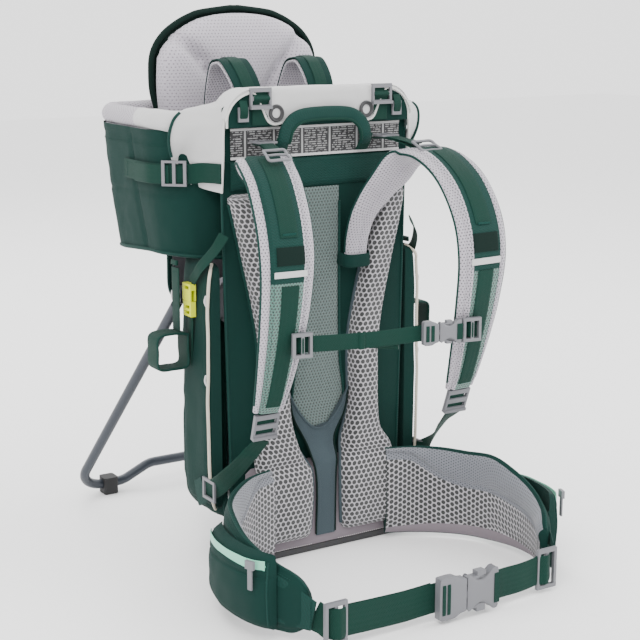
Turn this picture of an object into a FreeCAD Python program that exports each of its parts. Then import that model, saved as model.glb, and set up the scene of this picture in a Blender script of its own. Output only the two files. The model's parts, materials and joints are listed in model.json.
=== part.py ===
"""Child carrier backpack on an aluminium frame with a folding kickstand, one STEP file per sub-part.

Millimetres. +Z is up, +Y points away from the wearer's back and +X is to the right seen from
behind the wearer. The origin lies on the flat sole of the base, straight below the back panel.
"""
import FreeCAD
import Part
import math
import os

from FreeCAD import Vector

# ---- driving dimensions -------------------------------------------------------------------------------
SIDES = {"left": -1, "right": 1}

PANEL_HALF = 137               # back panel, half width at its top
PANEL_TOP = 600
CLOTH_Y = (8, 11.7)            # cloth that faces the wearer
PLATE_Y = (12, 15)             # stiffening plate behind it

TUBE_R = 8                     # main frame tube
TUBE_WALL = 1.5
FRAME_HALF = 118               # tube centre from the middle
FRAME_Y = 24
FRAME_TOP = 585
FRAME_LOW = 14

PIVOT = Vector(150, 100, 345)  # kickstand hinge on the right side
PIVOT_R = 4
PIVOT_CLEAR = 0.05
STAND_R = 7
STAND_FOOT = Vector(203, 355, 14.5)
STAND_ARCH = 20                # how far the middle of the stand's bar rises above its feet

TUB_HALF = 200                 # cockpit rim, half width
TUB_FLARE = 18                 # how much narrower the cockpit is at its lower edge
TUB_Y = (46, 270)
TUB_Z = (400, 560)
TUB_CORNER = 60
TUB_SKIN = 4
HOOP_R = 5
RIM_R = 13

BAG_HALF = 140
BAG_Y = (36, 146)
BAG_Z = (42, 318)
WING_OUT = 160                 # side wings of the bag, beside the back panel
WING_Y = (6, 84)

BELT_CENTRE = (62, -165)       # plan centre of the hip fin's curve
BELT_R = 146
BELT_THICK = 14
POCKET_DEPTH = 20
ZIP_Z = 96
HIP_WEB = 38                   # webbing widths
CHEST_WEB = 20
STRAP_WEB = 25
WEB_THICK = 2
HIP_WEB_Z = 31
HIP_MOUTH = (22, -290)
CHEST_MOUTH = (67, 320)        # X and Z of the chest buckle's mouth

STRAP_REACH = {"left": 0.84, "right": 1.1}   # how far each shoulder strap stands out
STRAP_THICK = 14
STRAP_ROOT = [(52, -3, 388, 32), (53, -6, 420, 34), (58, -18, 456, 40), (80, -31, 492, 52),
              (106, -46, 522, 64)]
STRAP_FREE = [(118, -78, 528, 72), (124, -118, 505, 74), (127, -148, 460, 74), (128, -158, 410, 72),
              (129, -150, 350, 66), (131, -134, 290, 56), (134, -114, 232, 42)]
LOCK_HEIGHT = 34               # ladder lock at a strap's tip
SLIDER_ROOM = 12.8             # from a shoulder strap's face to the middle of a chest slider

SEAT_Z = 318.3
SEAT_BACK = 240


# ---- small helpers ------------------------------------------------------------------------------------
def block(x0, x1, y0, y1, z0, z1, corner=0):
    """A box between two corners, with its upright edges rounded if corner is given."""
    solid = Part.makeBox(x1 - x0, y1 - y0, z1 - z0, Vector(x0, y0, z0))
    if corner:
        upright = [e for e in solid.Edges if abs(e.tangentAt(e.FirstParameter).z) > 0.9]
        solid = solid.makeFillet(corner, upright)
    return solid


def rod(start, end, radius):
    start = Vector(*start)
    end = Vector(*end)
    return Part.makeCylinder(radius, (end - start).Length, start, end - start)


def bent_path(points, bend):
    """Straight runs between points, joined by tangent arcs of one bend radius."""
    points = [Vector(*p) for p in points]
    edges = []
    at = points[0]
    for before, here, after in zip(points, points[1:], points[2:]):
        into = (here - before).normalize()
        out = (after - here).normalize()
        half_turn = into.getAngle(out) / 2
        cut = bend * math.tan(half_turn)
        arc_start = here - into * cut
        arc_end = here + out * cut
        inward = (out - into).normalize()
        middle = here + inward * (bend / math.cos(half_turn) - bend)
        edges.append(Part.LineSegment(at, arc_start).toShape())
        edges.append(Part.Arc(arc_start, middle, arc_end).toShape())
        at = arc_end
    edges.append(Part.LineSegment(at, points[-1]).toShape())
    return Part.Wire(edges)


def swept_round(path, radius):
    start = path.Edges[0]
    ring = Part.Wire(Part.makeCircle(radius, start.valueAt(start.FirstParameter), start.tangentAt(0)))
    return path.makePipeShell([ring], True, True)


def rounded_outline(points, radius):
    """A closed outline through 2-D points as a list of edges in the XY plane, with every corner rounded."""
    points = [Vector(x, y, 0) for x, y in points]
    count = len(points)
    edges = []
    joints = []
    for i, here in enumerate(points):
        into = (here - points[i - 1]).normalize()
        out = (points[(i + 1) % count] - here).normalize()
        half_turn = into.getAngle(out) / 2
        cut = radius * math.tan(half_turn)
        inward = (out - into).normalize()
        middle = here + inward * (radius / math.cos(half_turn) - radius)
        joints.append((here - into * cut, middle, here + out * cut))
    for i, (start, middle, end) in enumerate(joints):
        edges.append(Part.Arc(start, middle, end).toShape())
        edges.append(Part.LineSegment(end, joints[(i + 1) % count][0]).toShape())
    return Part.Wire(edges)


def facing_plate(points, radius, y0, y1):
    """A plate that faces the wearer: its outline is given as (x, z) and it fills y0 to y1."""
    wire = rounded_outline(points, radius)
    wire.rotate(Vector(0, 0, 0), Vector(1, 0, 0), 90)
    wire.translate(Vector(0, y1, 0))
    return Part.Face(wire).extrude(Vector(0, y0 - y1, 0))


def ribbon(stations, thick):
    """A strap lofted through (x, y, z, width) stations; its width lies along X."""
    return lofted_band([(Vector(x, y, z), width, Vector(1, 0, 0)) for x, y, z, width in stations], thick)


def lofted_band(stations, thick):
    """A flat band through (centre, width, across) stations, across being its width direction."""
    sections = []
    last = len(stations) - 1
    for i, (centre, width, across) in enumerate(stations):
        along = stations[min(i + 1, last)][0] - stations[max(i - 1, 0)][0]
        normal = along.cross(across).normalize()
        side = Vector(across).normalize() * (width / 2)
        up = normal * (thick / 2)
        corners = [centre + side + up, centre - side + up, centre - side - up, centre + side - up]
        sections.append(Part.makePolygon(corners + corners[:1]))
    pieces = [Part.makeLoft(list(pair), True, True) for pair in zip(sections, sections[1:])]
    return pieces[0].fuse(pieces[1:]) if len(pieces) > 1 else pieces[0]


def side_plate(points, radius, x0, x1):
    """A plate that faces sideways: its outline is given as (y, z) and it fills x0 to x1."""
    wire = rounded_outline(points, radius)
    wire.rotate(Vector(0, 0, 0), Vector(1, 1, 1), 120)
    wire.translate(Vector(x0, 0, 0))
    return Part.Face(wire).extrude(Vector(x1 - x0, 0, 0))


def largest(shape):
    return max(shape.Solids, key=lambda solid: solid.Volume)


def mirrored(shape, side):
    """Parts are drawn on the right; the left one is its mirror image."""
    return shape if SIDES[side] > 0 else shape.mirror(Vector(0, 0, 0), Vector(1, 0, 0))


def placed(shape, at, turn_z=0):
    shape = shape.copy()
    shape.rotate(Vector(0, 0, 0), Vector(0, 0, 1), turn_z)
    shape.translate(Vector(*at))
    return shape


def save(name, *shapes):
    solids = [s for shape in shapes for s in shape.Solids]
    shape = solids[0] if len(solids) == 1 else Part.makeCompound(solids)
    shape.exportStep(f"parts/{name}.step")
    box = shape.BoundBox
    print(f"{name:26s} {len(solids)} solid(s) {shape.Volume / 1000:9.2f} cm3  "
          f"x {box.XMin:.0f}..{box.XMax:.0f} y {box.YMin:.0f}..{box.YMax:.0f} "
          f"z {box.ZMin:.0f}..{box.ZMax:.0f}")


# ---- frame and kickstand ------------------------------------------------------------------------------
def frame_uprights():
    tubes = []
    for s in SIDES.values():
        low = Vector(s * FRAME_HALF, FRAME_Y, FRAME_LOW)
        outer = Part.makeCylinder(TUBE_R, FRAME_TOP - FRAME_LOW, low)
        tubes.append(outer.cut(Part.makeCylinder(TUBE_R - TUBE_WALL, 700, low - Vector(0, 0, 1))))
    return tubes


def cross_bar(z):
    """A tube between the uprights, with ends shaped to their round walls."""
    radius = TUBE_R - 1
    bar = rod((-FRAME_HALF, FRAME_Y, z), (FRAME_HALF, FRAME_Y, z), radius)
    bar = bar.cut(rod((-FRAME_HALF - 1, FRAME_Y, z), (FRAME_HALF + 1, FRAME_Y, z), radius - TUBE_WALL))
    for s in SIDES.values():
        bar = bar.cut(rod((s * FRAME_HALF, FRAME_Y, z - 40), (s * FRAME_HALF, FRAME_Y, z + 40), TUBE_R))
    return largest(bar)


def base_shoe():
    """Rubber shoe under the frame: a flat sole at Z 0 with sockets for the uprights."""
    shoe = block(-FRAME_HALF - 16, FRAME_HALF + 16, -10, 42, 0, 8, 12)
    for s in SIDES.values():
        x = s * FRAME_HALF
        shoe = shoe.fuse(rod((x, FRAME_Y, 8), (x, FRAME_Y, 34), TUBE_R + 4))
        shoe = shoe.cut(rod((x, FRAME_Y, FRAME_LOW), (x, FRAME_Y, 40), TUBE_R))
    return shoe.removeSplitter()


def hinge_bracket(side):
    """Plastic bracket: a collar round the upright and an arm back to the kickstand pivot."""
    x, y, z = FRAME_HALF, PIVOT.y, PIVOT.z
    collar = rod((x, FRAME_Y, z - 24), (x, FRAME_Y, z + 24), TUBE_R + 5)
    outline = [(20, z - 22), (y, z - 17), (y + 18, z), (y, z + 17), (20, z + 22)]
    bracket = collar.fuse(side_plate(outline, 8, 127, 139))
    bracket = bracket.cut(rod((x, FRAME_Y, z - 30), (x, FRAME_Y, z + 30), TUBE_R))
    bracket = bracket.cut(rod((100, y, z), (180, y, z), PIVOT_R + PIVOT_CLEAR))
    bracket = bracket.cut(block(90, 150, 0, PLATE_Y[1] + 0.2, z - 50, z + 50))
    return mirrored(largest(bracket), side)


def pivot_pin(side):
    """Shoulder pin through the kickstand's knuckle and its bracket, headed at both ends."""
    y, z = PIVOT.y, PIVOT.z
    shank = rod((123, y, z), (161, y, z), PIVOT_R)
    heads = rod((121, y, z), (126.7, y, z), 8).fuse(rod((158.3, y, z), (162, y, z), 8))
    return mirrored(shank.fuse(heads).removeSplitter(), side)


def kickstand_tube():
    """One bent tube: two flared arms, a bar arched between two low corners, and a knuckle at each end."""
    foot = STAND_FOOT
    half = [tuple(PIVOT), tuple(foot), (128, foot.y, foot.z), (84, foot.y, foot.z + STAND_ARCH)]
    path = bent_path(half + [(-x, y, z) for x, y, z in reversed(half)], 40)
    outer = swept_round(path, STAND_R)
    inner = swept_round(path, STAND_R - TUBE_WALL)
    y, z = PIVOT.y, PIVOT.z
    for s in SIDES.values():
        outer = outer.fuse(rod((s * 143, y, z), (s * 157, y, z), 12))
    tube = outer.cut(inner)
    for s in SIDES.values():
        tube = tube.cut(rod((s * 110, y, z), (s * 143, y, z), 20))
        tube = tube.cut(rod((s * 157, y, z), (s * 180, y, z), 20))
        tube = tube.cut(rod((s * 110, y, z), (s * 180, y, z), PIVOT_R + PIVOT_CLEAR))
    return largest(tube)


def kickstand_foot(side):
    """A rubber foot clamped round the stand's bar beside its low corner."""
    x, y, z = 151, STAND_FOOT.y, STAND_FOOT.z
    foot = block(x - 11, x + 11, y - 12, y + 12, 0, 25, 4)
    return mirrored(foot.cut(rod((x - 20, y, z), (x + 20, y, z), STAND_R + 0.3)), side)


# ---- back panel ---------------------------------------------------------------------------------------
def back_plate():
    return facing_plate([(-126, 40), (126, 40), (128, 575), (-128, 575)], 18, *PLATE_Y)


def back_cloth():
    """Green cloth over the plate; wider above, where it carries the head panel."""
    half = PANEL_HALF
    outline = [(-128, 36), (128, 36), (half, 470), (half, PANEL_TOP), (-half, PANEL_TOP), (-half, 470)]
    return facing_plate(outline, 14, *CLOTH_Y)


def label_panel():
    """Dark sheet under the haul handle, left blank."""
    return facing_plate([(-126, 526), (126, 526), (126, 566), (-126, 566)], 6, 6.5, 8)


def yoke_panel():
    """Green woven band below the label."""
    return facing_plate([(-126, 488), (126, 488), (126, 524), (-126, 524)], 5, 5, 8)


def centre_mesh():
    """Net panel between the two back pads, narrowed at its lower end."""
    half = [(12, 140), (34, 180), (40, 205), (33, 260), (33, 486)]
    return facing_plate(half + [(-x, z) for x, z in reversed(half)], 5, 5, 8)


def spine_channel():
    """Smooth grey channel between the lumbar cushions."""
    half = [(15, 20), (15, 100), (19, 130)]
    return facing_plate(half + [(-x, z) for x, z in reversed(half)], 3, -14, -12.3)


def back_pad(side):
    """Perforated spacer-mesh column beside the net."""
    outline = [(30, 136), (96, 136), (90, 190), (90, 290), (112, 400), (134, 484), (92, 484), (72, 400),
               (48, 290), (46, 190)]
    return mirrored(facing_plate(outline, 7, -15, 8), side)


def lumbar_core():
    """Firm middle of the hip belt, covered in grey cloth."""
    return facing_plate([(-110, 10), (110, 10), (110, 124), (-110, 124)], 6, -12, 7.9)


def lumbar_cushion(side):
    outline = [(24, 34), (91, 22), (91, 126), (46, 134), (22, 118)]
    return mirrored(facing_plate(outline, 4, -28, -12.3), side)


# ---- cockpit ------------------------------------------------------------------------------------------
def tub_section(half, front, back, corner, z):
    wire = rounded_outline([(-half, front), (half, front), (half, back), (-half, back)], corner)
    wire.translate(Vector(0, 0, z))
    return wire


def tub_solid(inset, over):
    low, high = TUB_Z
    front, back = TUB_Y[0] + inset, TUB_Y[1] - inset
    corner = TUB_CORNER - inset
    lower = tub_section(TUB_HALF - TUB_FLARE - inset, front, back - 4, corner, low - over)
    upper = tub_section(TUB_HALF - inset, front, back, corner, high + over)
    return Part.makeLoft([lower, upper], True, True)


def tub_shell():
    """The cockpit's wall: an open shell, wider at the rim, with no floor."""
    return tub_solid(0, 0).cut(tub_solid(TUB_SKIN, 0.01))


def hoop_path():
    x, z = TUB_HALF - RIM_R, TUB_Z[1] + RIM_R + 0.5
    points = [(-114, 52, z), (-x, 54, z), (-x, 257, z), (x, 257, z), (x, 54, z), (114, 52, z)]
    return bent_path(points, 45)


def cockpit_hoop():
    """Aluminium rod that holds the cockpit's rim open."""
    return swept_round(hoop_path(), HOOP_R)


def rim_pad():
    """Padded roll round the hoop."""
    return swept_round(hoop_path(), RIM_R).cut(cockpit_hoop())


def front_cover():
    """Pale cloth saddle over the top of the back panel, with an eyelet for each canopy socket."""
    half = PANEL_HALF + 1
    cover = side_plate([(-4, 566), (38.5, 566), (38.5, 615), (-4, 615)], 3, -half, half)
    cover = cover.cut(side_plate([(0, 500), (34.5, 500), (34.5, 611), (0, 611)], 2, -half - 1, half + 1))
    for s in SIDES.values():
        cover = cover.cut(rod((s * 67, -8, 583), (s * 67, 2, 583), 9.2))
    return largest(cover)


def canopy_socket(side):
    """Round plastic socket behind the eyelet, with a blind bore for the tip of a canopy rod."""
    x, z = 67, 583
    socket = rod((x, 0.2, z), (x, 7.8, z), 12).fuse(rod((x, -6, z), (x, 0.2, z), 9))
    return mirrored(socket.cut(rod((x, -7, z), (x, 4, z), 6)).removeSplitter(), side)


def seat_shell():
    """Seat board and back board in one, with two guides for the head rest's rails."""
    board = block(-92, 92, 64, SEAT_BACK + 4, SEAT_Z, SEAT_Z + 5)
    back = facing_plate([(-92, SEAT_Z), (92, SEAT_Z), (92, 548), (-92, 548)], 16, SEAT_BACK, SEAT_BACK + 4)
    shell = board.fuse(back)
    for s in SIDES.values():
        x = s * 50
        guide = block(x - 12, x + 12, 232.2, SEAT_BACK, 470, 492)
        shell = shell.fuse(guide.cut(block(x - 7.4, x + 7.4, 233.6, 238.4, 460, 500)))
    return shell.removeSplitter()


def seat_pad():
    """Child's seat cushion with a raised nose between the legs."""
    low = SEAT_Z + 5.3
    pad = block(-86, 86, 66, 234, low, low + 21, 22)
    return pad.fuse(block(-24, 24, 68, 92, low, low + 76, 10)).removeSplitter()


def headrest_outline(half_low, half_high, low, high):
    middle = (low + high) / 2 + 20
    half = [(half_low, low), (half_high + 14, middle), (half_high * 0.72, high)]
    return half + [(-x, z) for x, z in reversed(half)]


def headrest_pad():
    return facing_plate(headrest_outline(96, 118, 500, 706), 26, 184, 224)


def headrest_shell():
    """Stiff green cover on the back of the head pad, with the two rails that carry it."""
    shell = facing_plate(headrest_outline(92, 116, 510, 708), 26, 224.3, 230)
    for s in SIDES.values():
        x = s * 50
        shell = shell.fuse(block(x - 7, x + 7, 234, 238, 376, 620))
        shell = shell.fuse(block(x - 7, x + 7, 229, 234, 540, 620))
    return shell.removeSplitter()


def harness_strap(side):
    """Child's padded shoulder strap: up in front of the head rest, over, and down to the chest buckle."""
    stations = [(51, 177, 520, 40), (54, 172, 580, 40), (57, 150, 632, 42), (58, 114, 636, 42),
                (55, 88, 604, 40), (47, 80, 550, 36), (31, 78, 500, 26), (22, 78, 474, 20)]
    return mirrored(ribbon(stations, 9), side)


def crotch_web():
    return block(-12, 12, 76, 79, SEAT_Z + 82, 433.7)


def harness_buckle():
    """Centre buckle of the child's harness, with a well for its push button."""
    return block(-22, 22, 71, 84, 434, 468, 6).cut(rod((0, 66, 451), (0, 80, 451), 9.4))


def harness_button():
    return rod((0, 68, 451), (0, 75.5, 451), 9)


# ---- bag ----------------------------------------------------------------------------------------------
def lower_bag():
    """Storage bag under the seat, with wings that come forward beside the back panel."""
    bag = block(-BAG_HALF, BAG_HALF, *BAG_Y, *BAG_Z, 30)
    for s in SIDES.values():
        low = sorted((s * (BAG_HALF - 1), s * WING_OUT))
        infill = sorted((s * 112, s * (BAG_HALF + 2)))
        high = sorted((s * (BAG_HALF + 1), s * WING_OUT))
        bag = bag.fuse(block(*low, *WING_Y, BAG_Z[0] + 30, BAG_Z[1], 8))
        bag = bag.fuse(block(*infill, BAG_Y[0], 72, BAG_Z[0] + 30, BAG_Z[1]))
        bag = bag.fuse(block(*high, *WING_Y, BAG_Z[1] - 1, TUB_Z[0] - 2, 4))
    return largest(bag.removeSplitter())


# ---- hip belt -----------------------------------------------------------------------------------------
def belt_point(angle, radius=BELT_R):
    """A plan point on the fin's curve; angle is in degrees from straight out, positive to the rear."""
    turn = math.radians(angle)
    return BELT_CENTRE[0] + radius * math.cos(turn), BELT_CENTRE[1] + radius * math.sin(turn)


def hip_fin(side):
    """Padded fin that wraps forwards from the lumbar cushion; it is lower at its front."""
    stations = [(95, -24, 8, 128), (128, -35, 6, 128), (157, -56, 6, 127)]
    for angle in range(34, -43, -15):
        x, y = belt_point(angle)
        drop = max(0, 19 - angle)
        stations.append((x, y, 6 + 0.12 * drop, 124 - 0.8 * drop))
    band = [(Vector(x, y, (low + high) / 2), high - low, Vector(0, 0, 1)) for x, y, low, high in stations]
    return mirrored(lofted_band(band, BELT_THICK), side)


def arc_block(radius, depth, z0, z1, first, last):
    """A block bent round the belt's plan centre, between two angles."""
    centre = Vector(*BELT_CENTRE, 0)
    corners = [(radius, z0), (radius + depth, z0), (radius + depth, z1), (radius, z1), (radius, z0)]
    outline = Part.makePolygon([centre + Vector(r, 0, z) for r, z in corners])
    face = Part.Face(outline)
    face.rotate(centre, Vector(0, 0, 1), first)
    return face.revolve(centre, Vector(0, 0, 1), last - first)


def hip_pocket(side):
    """Zipped pocket on the outside of a fin."""
    inner = BELT_R + BELT_THICK / 2 + 1
    pocket = arc_block(inner, POCKET_DEPTH, 12, 106, -26, 28)
    upright = [e for e in pocket.Edges if e.Length > 90 and abs(e.tangentAt(e.FirstParameter).z) > 0.9]
    return mirrored(pocket.makeFillet(7, upright), side)


def hip_zip(side):
    """Zip tape and teeth along the upper outside of the pocket."""
    radius = BELT_R + BELT_THICK / 2 + 1 + POCKET_DEPTH
    return mirrored(arc_block(radius, 1.5, ZIP_Z - 6, ZIP_Z + 6, -20, 22), side)


def zip_pull(side):
    """Slider and its hanging tab, parked at the front end of the zip."""
    radius = BELT_R + BELT_THICK / 2 + 1 + POCKET_DEPTH + 1.8
    slider = arc_block(radius, 4, ZIP_Z - 5, ZIP_Z + 5, -20, -16)
    tab = arc_block(radius + 1, 2, ZIP_Z - 30, ZIP_Z - 4, -19, -17)
    return mirrored(slider.fuse(tab).removeSplitter(), side)


def hip_adjuster(side):
    """Flat frame with a centre bar at the front of a fin, where the belt webbing doubles back."""
    frame = block(140, 170, -284, -279, HIP_WEB_Z - 26, HIP_WEB_Z + 26)
    for x0 in (144, 157):
        frame = frame.cut(block(x0, x0 + 9, -290, -270, HIP_WEB_Z - 21, HIP_WEB_Z + 21))
    return mirrored(frame, side)


def flat_web(stations, width):
    """Webbing on edge through (x, y, z) stations: its width stands along Z."""
    return lofted_band([(Vector(*p), width, Vector(0, 0, 1)) for p in stations], WEB_THICK)


def hip_webs():
    mouth, front = HIP_MOUTH
    z = HIP_WEB_Z
    long_line = [(mouth - 4, front + 7.8, z), (-60, front + 7.8, z), (-139.6, front + 8, z)]
    short_line = [(mouth + 47, front, z), (115, front + 4, z), (139.6, front + 8.4, z)]
    anchors = [mirrored(flat_web([(163, -278, z), (167, -270, z + 4), (172, -263.5, z + 8)], HIP_WEB), side)
               for side in SIDES]
    return [flat_web(long_line, HIP_WEB), flat_web(short_line, HIP_WEB)] + anchors


# ---- side-release buckles -----------------------------------------------------------------------------
def buckle_parts(height, depth, male, female, web):
    """Side-release buckle at the origin, mouth at X 0: male half on -X, female half on +X."""
    inner = depth / 2 - 1.6
    half = height / 2
    cavity = 0.64 * female
    housing = block(0, female, -depth / 2, depth / 2, -half, half)
    housing = housing.cut(block(-1, cavity, -inner, inner, -half - 1, half + 1))
    housing = housing.cut(block(female - 7, female - 3, -depth, depth, -web / 2 - 0.5, web / 2 + 0.5))
    base = block(-male, -0.6, -depth / 2 + 0.5, depth / 2 - 0.5, -half, half)
    for x0 in (-male + 3, -male + 10):
        base = base.cut(block(x0, x0 + 4, -depth, depth, -web / 2 - 0.5, web / 2 + 0.5))
    tongue = block(-0.6, cavity - 2, -inner + 0.4, inner - 0.4, -0.08 * height, 0.08 * height)
    arm = block(0.6, cavity - 2, -inner + 0.4, inner - 0.4, 0.30 * height, 0.39 * height)
    head = block(0.5 * cavity, cavity - 2, -inner + 0.4, inner - 0.4, 0.30 * height, 0.49 * height)
    prong = arm.fuse(head).removeSplitter()
    return {"female": housing, "male": base.fuse(tongue).removeSplitter(), "prong_upper": prong,
            "prong_lower": prong.mirror(Vector(0, 0, 0), Vector(0, 0, 1))}


def side_buckle(side):
    """Small buckle that opens the side of the cockpit; its mouth faces down."""
    parts = buckle_parts(22, 8, 20, 22, 12)
    halves = []
    for name in ("female", "male"):
        half = parts[name]
        half.rotate(Vector(0, 0, 0), Vector(0, 1, 0), -90)
        half.rotate(Vector(0, 0, 0), Vector(0, 0, 1), 90)
        halves.append(mirrored(placed(half, (165.5, 48, 348)), side))
    return halves


def ladder_lock(width, height, depth):
    """Webbing ladder at the origin: two slots, a centre bar, and a lip to lift it by."""
    lock = block(-width / 2, width / 2, -depth / 2, depth / 2, -height / 2, height / 2)
    for z0 in (-height * 0.3, height * 0.1):
        lock = lock.cut(block(-width / 2 + 3, width / 2 - 3, -depth, depth, z0, z0 + height * 0.2))
    lip = block(-width / 2, width / 2, -depth / 2 - 2.5, -depth / 2, -height / 2, -height / 2 + 4)
    return lock.fuse(lip).removeSplitter()


def glide():
    """Flat frame buckle with one centre bar, at the origin, facing the wearer."""
    frame = block(-16, 16, -1.5, 1.5, -16, 16)
    for x0 in (-12, 2):
        frame = frame.cut(block(x0, x0 + 10, -9, 9, -13, 13))
    return frame


# ---- shoulder straps ----------------------------------------------------------------------------------
def strap_stations(side):
    reach = STRAP_REACH[side]
    return STRAP_ROOT + [(x, y * reach, z, w) for x, y, z, w in STRAP_FREE]


def shoulder_strap(side):
    return mirrored(ribbon(strap_stations(side), STRAP_THICK), side)


def strap_tip(side):
    """The strap's last centre point and the direction it points in."""
    before, last = [Vector(*s[:3]) for s in strap_stations(side)[-2:]]
    return last, (last - before).normalize()


def lock_centre(side):
    tip, along = strap_tip(side)
    return tip + along * (LOCK_HEIGHT / 2 + 4)


def strap_lock(side):
    along = strap_tip(side)[1]
    lock = ladder_lock(34, LOCK_HEIGHT, 5)
    lock.rotate(Vector(0, 0, 0), Vector(1, 0, 0), math.degrees(math.atan2(along.y, -along.z)))
    return mirrored(placed(lock, lock_centre(side)), side)


def lower_web(side):
    """Webbing from the strap's ladder lock down to the wing of the bag."""
    along = strap_tip(side)[1]
    top = lock_centre(side) + along * (LOCK_HEIGHT / 2 + 3)
    band = [(top, STRAP_WEB, Vector(1, 0, 0)), (Vector(152, -66, 164), STRAP_WEB, Vector(0.8, 0.2, 0.5)),
            (Vector(161, -26, 126), STRAP_WEB, Vector(0.3, 0.2, 0.9)),
            (Vector(161.4, 6, 106), STRAP_WEB, Vector(0, 0.3, 0.95)),
            (Vector(161.4, 26, 99), STRAP_WEB, Vector(0, 0.3, 0.95))]
    return mirrored(lofted_band(band, WEB_THICK), side)


def load_lifter(side):
    """Short webbing from the top of the strap back to the head panel."""
    return mirrored(ribbon([(88, 1, 545, 20), (92, -22, 546, 20), (100, -50, 543, 20)], WEB_THICK), side)


# ---- chest strap --------------------------------------------------------------------------------------
def strap_front(side, z, room):
    """A point in front of a shoulder strap's middle at height z, room clear of its face."""
    stations = strap_stations(side)
    for (x0, y0, z0, _), (x1, y1, z1, _) in zip(stations[5:], stations[6:]):
        if z1 <= z <= z0:
            t = (z0 - z) / (z0 - z1)
            slope = math.hypot(1, (y1 - y0) / (z1 - z0))
            return x0 + t * (x1 - x0), y0 + t * (y1 - y0) - STRAP_THICK / 2 * slope - room
    return None


def chest_ends():
    """Where the two sliders sit, left and right."""
    z = CHEST_MOUTH[1]
    return [Vector(SIDES[side] * 112, strap_front(side, z, SLIDER_ROOM)[1], z) for side in SIDES]


def chest_turn():
    left, right = chest_ends()
    return math.degrees(math.atan2(right.y - left.y, right.x - left.x))


def chest_mouth():
    left, right = chest_ends()
    x = CHEST_MOUTH[0]
    return Vector(x, left.y + (right.y - left.y) * (x - left.x) / (right.x - left.x), CHEST_MOUTH[1])


def on_chest(shape):
    """Move a shape drawn along X at the buckle's mouth onto the slanted line between the sliders."""
    return placed(shape, chest_mouth(), chest_turn())


def chest_slider(side):
    """Slider that rides up and down the front of a shoulder strap."""
    at = chest_ends()[0 if side == "left" else 1]
    slider = block(-13, 13, -3.2, 3.2, -15, 15, 2)
    for x0 in (-9, 2):
        slider = slider.cut(block(x0, x0 + 7, -9, 9, -11, 11))
    return placed(slider, at, chest_turn())


def chest_webs():
    left, right = chest_ends()
    mouth = chest_mouth()
    long_web = block(left.x - mouth.x + 15, -4, 4.9, 6.9, -CHEST_WEB / 2, CHEST_WEB / 2)
    short_web = block(30.6, (right - mouth).Length - 13.6, -1, 1, -CHEST_WEB / 2, CHEST_WEB / 2)
    return on_chest(long_web), on_chest(short_web)


# ---- small hardware -----------------------------------------------------------------------------------
def haul_handle():
    """Padded grab loop whose two ends pivot on the head panel."""
    half = [(-62, -2, 536), (-62, -14, 548), (-62, -14, 580)]
    points = half + [(-x, y, z) for x, y, z in reversed(half)]
    loop = swept_round(bent_path(points, 16), 6.5)
    for end in (points[0], points[-1]):
        loop = loop.fuse(Part.makeSphere(6.5, Vector(*end)))
    return loop.removeSplitter()


def gear_hook(side):
    return mirrored(block(107, 121, -7, -4.2, 574, 592), side)


def web_ring(side):
    """Ring on the lower webbing where it meets the bag."""
    ring = block(163.2, 166, -12, 20, 94, 122)
    return mirrored(ring.cut(block(150, 180, -8, 16, 98, 118)), side)


def around_corner(angle, offset, z):
    """A point outside the tub's front corner: angle 0 faces sideways and 90 faces the wearer."""
    half = TUB_HALF - TUB_FLARE * (TUB_Z[1] - z) / (TUB_Z[1] - TUB_Z[0])
    turn = math.radians(angle)
    reach = TUB_CORNER + offset
    return half - TUB_CORNER + reach * math.cos(turn), TUB_Y[0] + TUB_CORNER - reach * math.sin(turn), z


def side_strap(side):
    """Stabiliser strap round the outside of the cockpit, from its side to the head panel."""
    corner = [around_corner(angle, 4, 508) for angle in (0, 20, 40, 60)]
    points = [(corner[0][0], 160, 508)] + corner + [(150, 38, 510), (142, 14, 511), (139.5, 4, 511)]
    return mirrored(flat_web(points, STRAP_WEB), side)


def side_glide(side):
    return mirrored(placed(glide(), around_corner(48, 7.2, 509), 42), side)


def lifter_glide(side):
    flat = glide().scaled(0.8)
    flat.rotate(Vector(0, 0, 0), Vector(1, 0, 0), 90)
    return mirrored(placed(flat, (91, -14, 549.4)), side)


def stirrup(side):
    """Foot stirrup: a flat hanger with a soft loop for the child's foot."""
    loop = block(166, 212, 46, 78, 258, 308).cut(block(169, 209, 40, 90, 261, 305))
    return mirrored(loop.fuse(block(176, 178.5, 52, 72, 307, 390)).removeSplitter(), side)


def stirrup_anchor(side):
    """Webbing tab under the cockpit's edge that a stirrup hangs from."""
    return mirrored(block(174, 182, 54, 70, 392.5, TUB_Z[0]), side)


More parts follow.
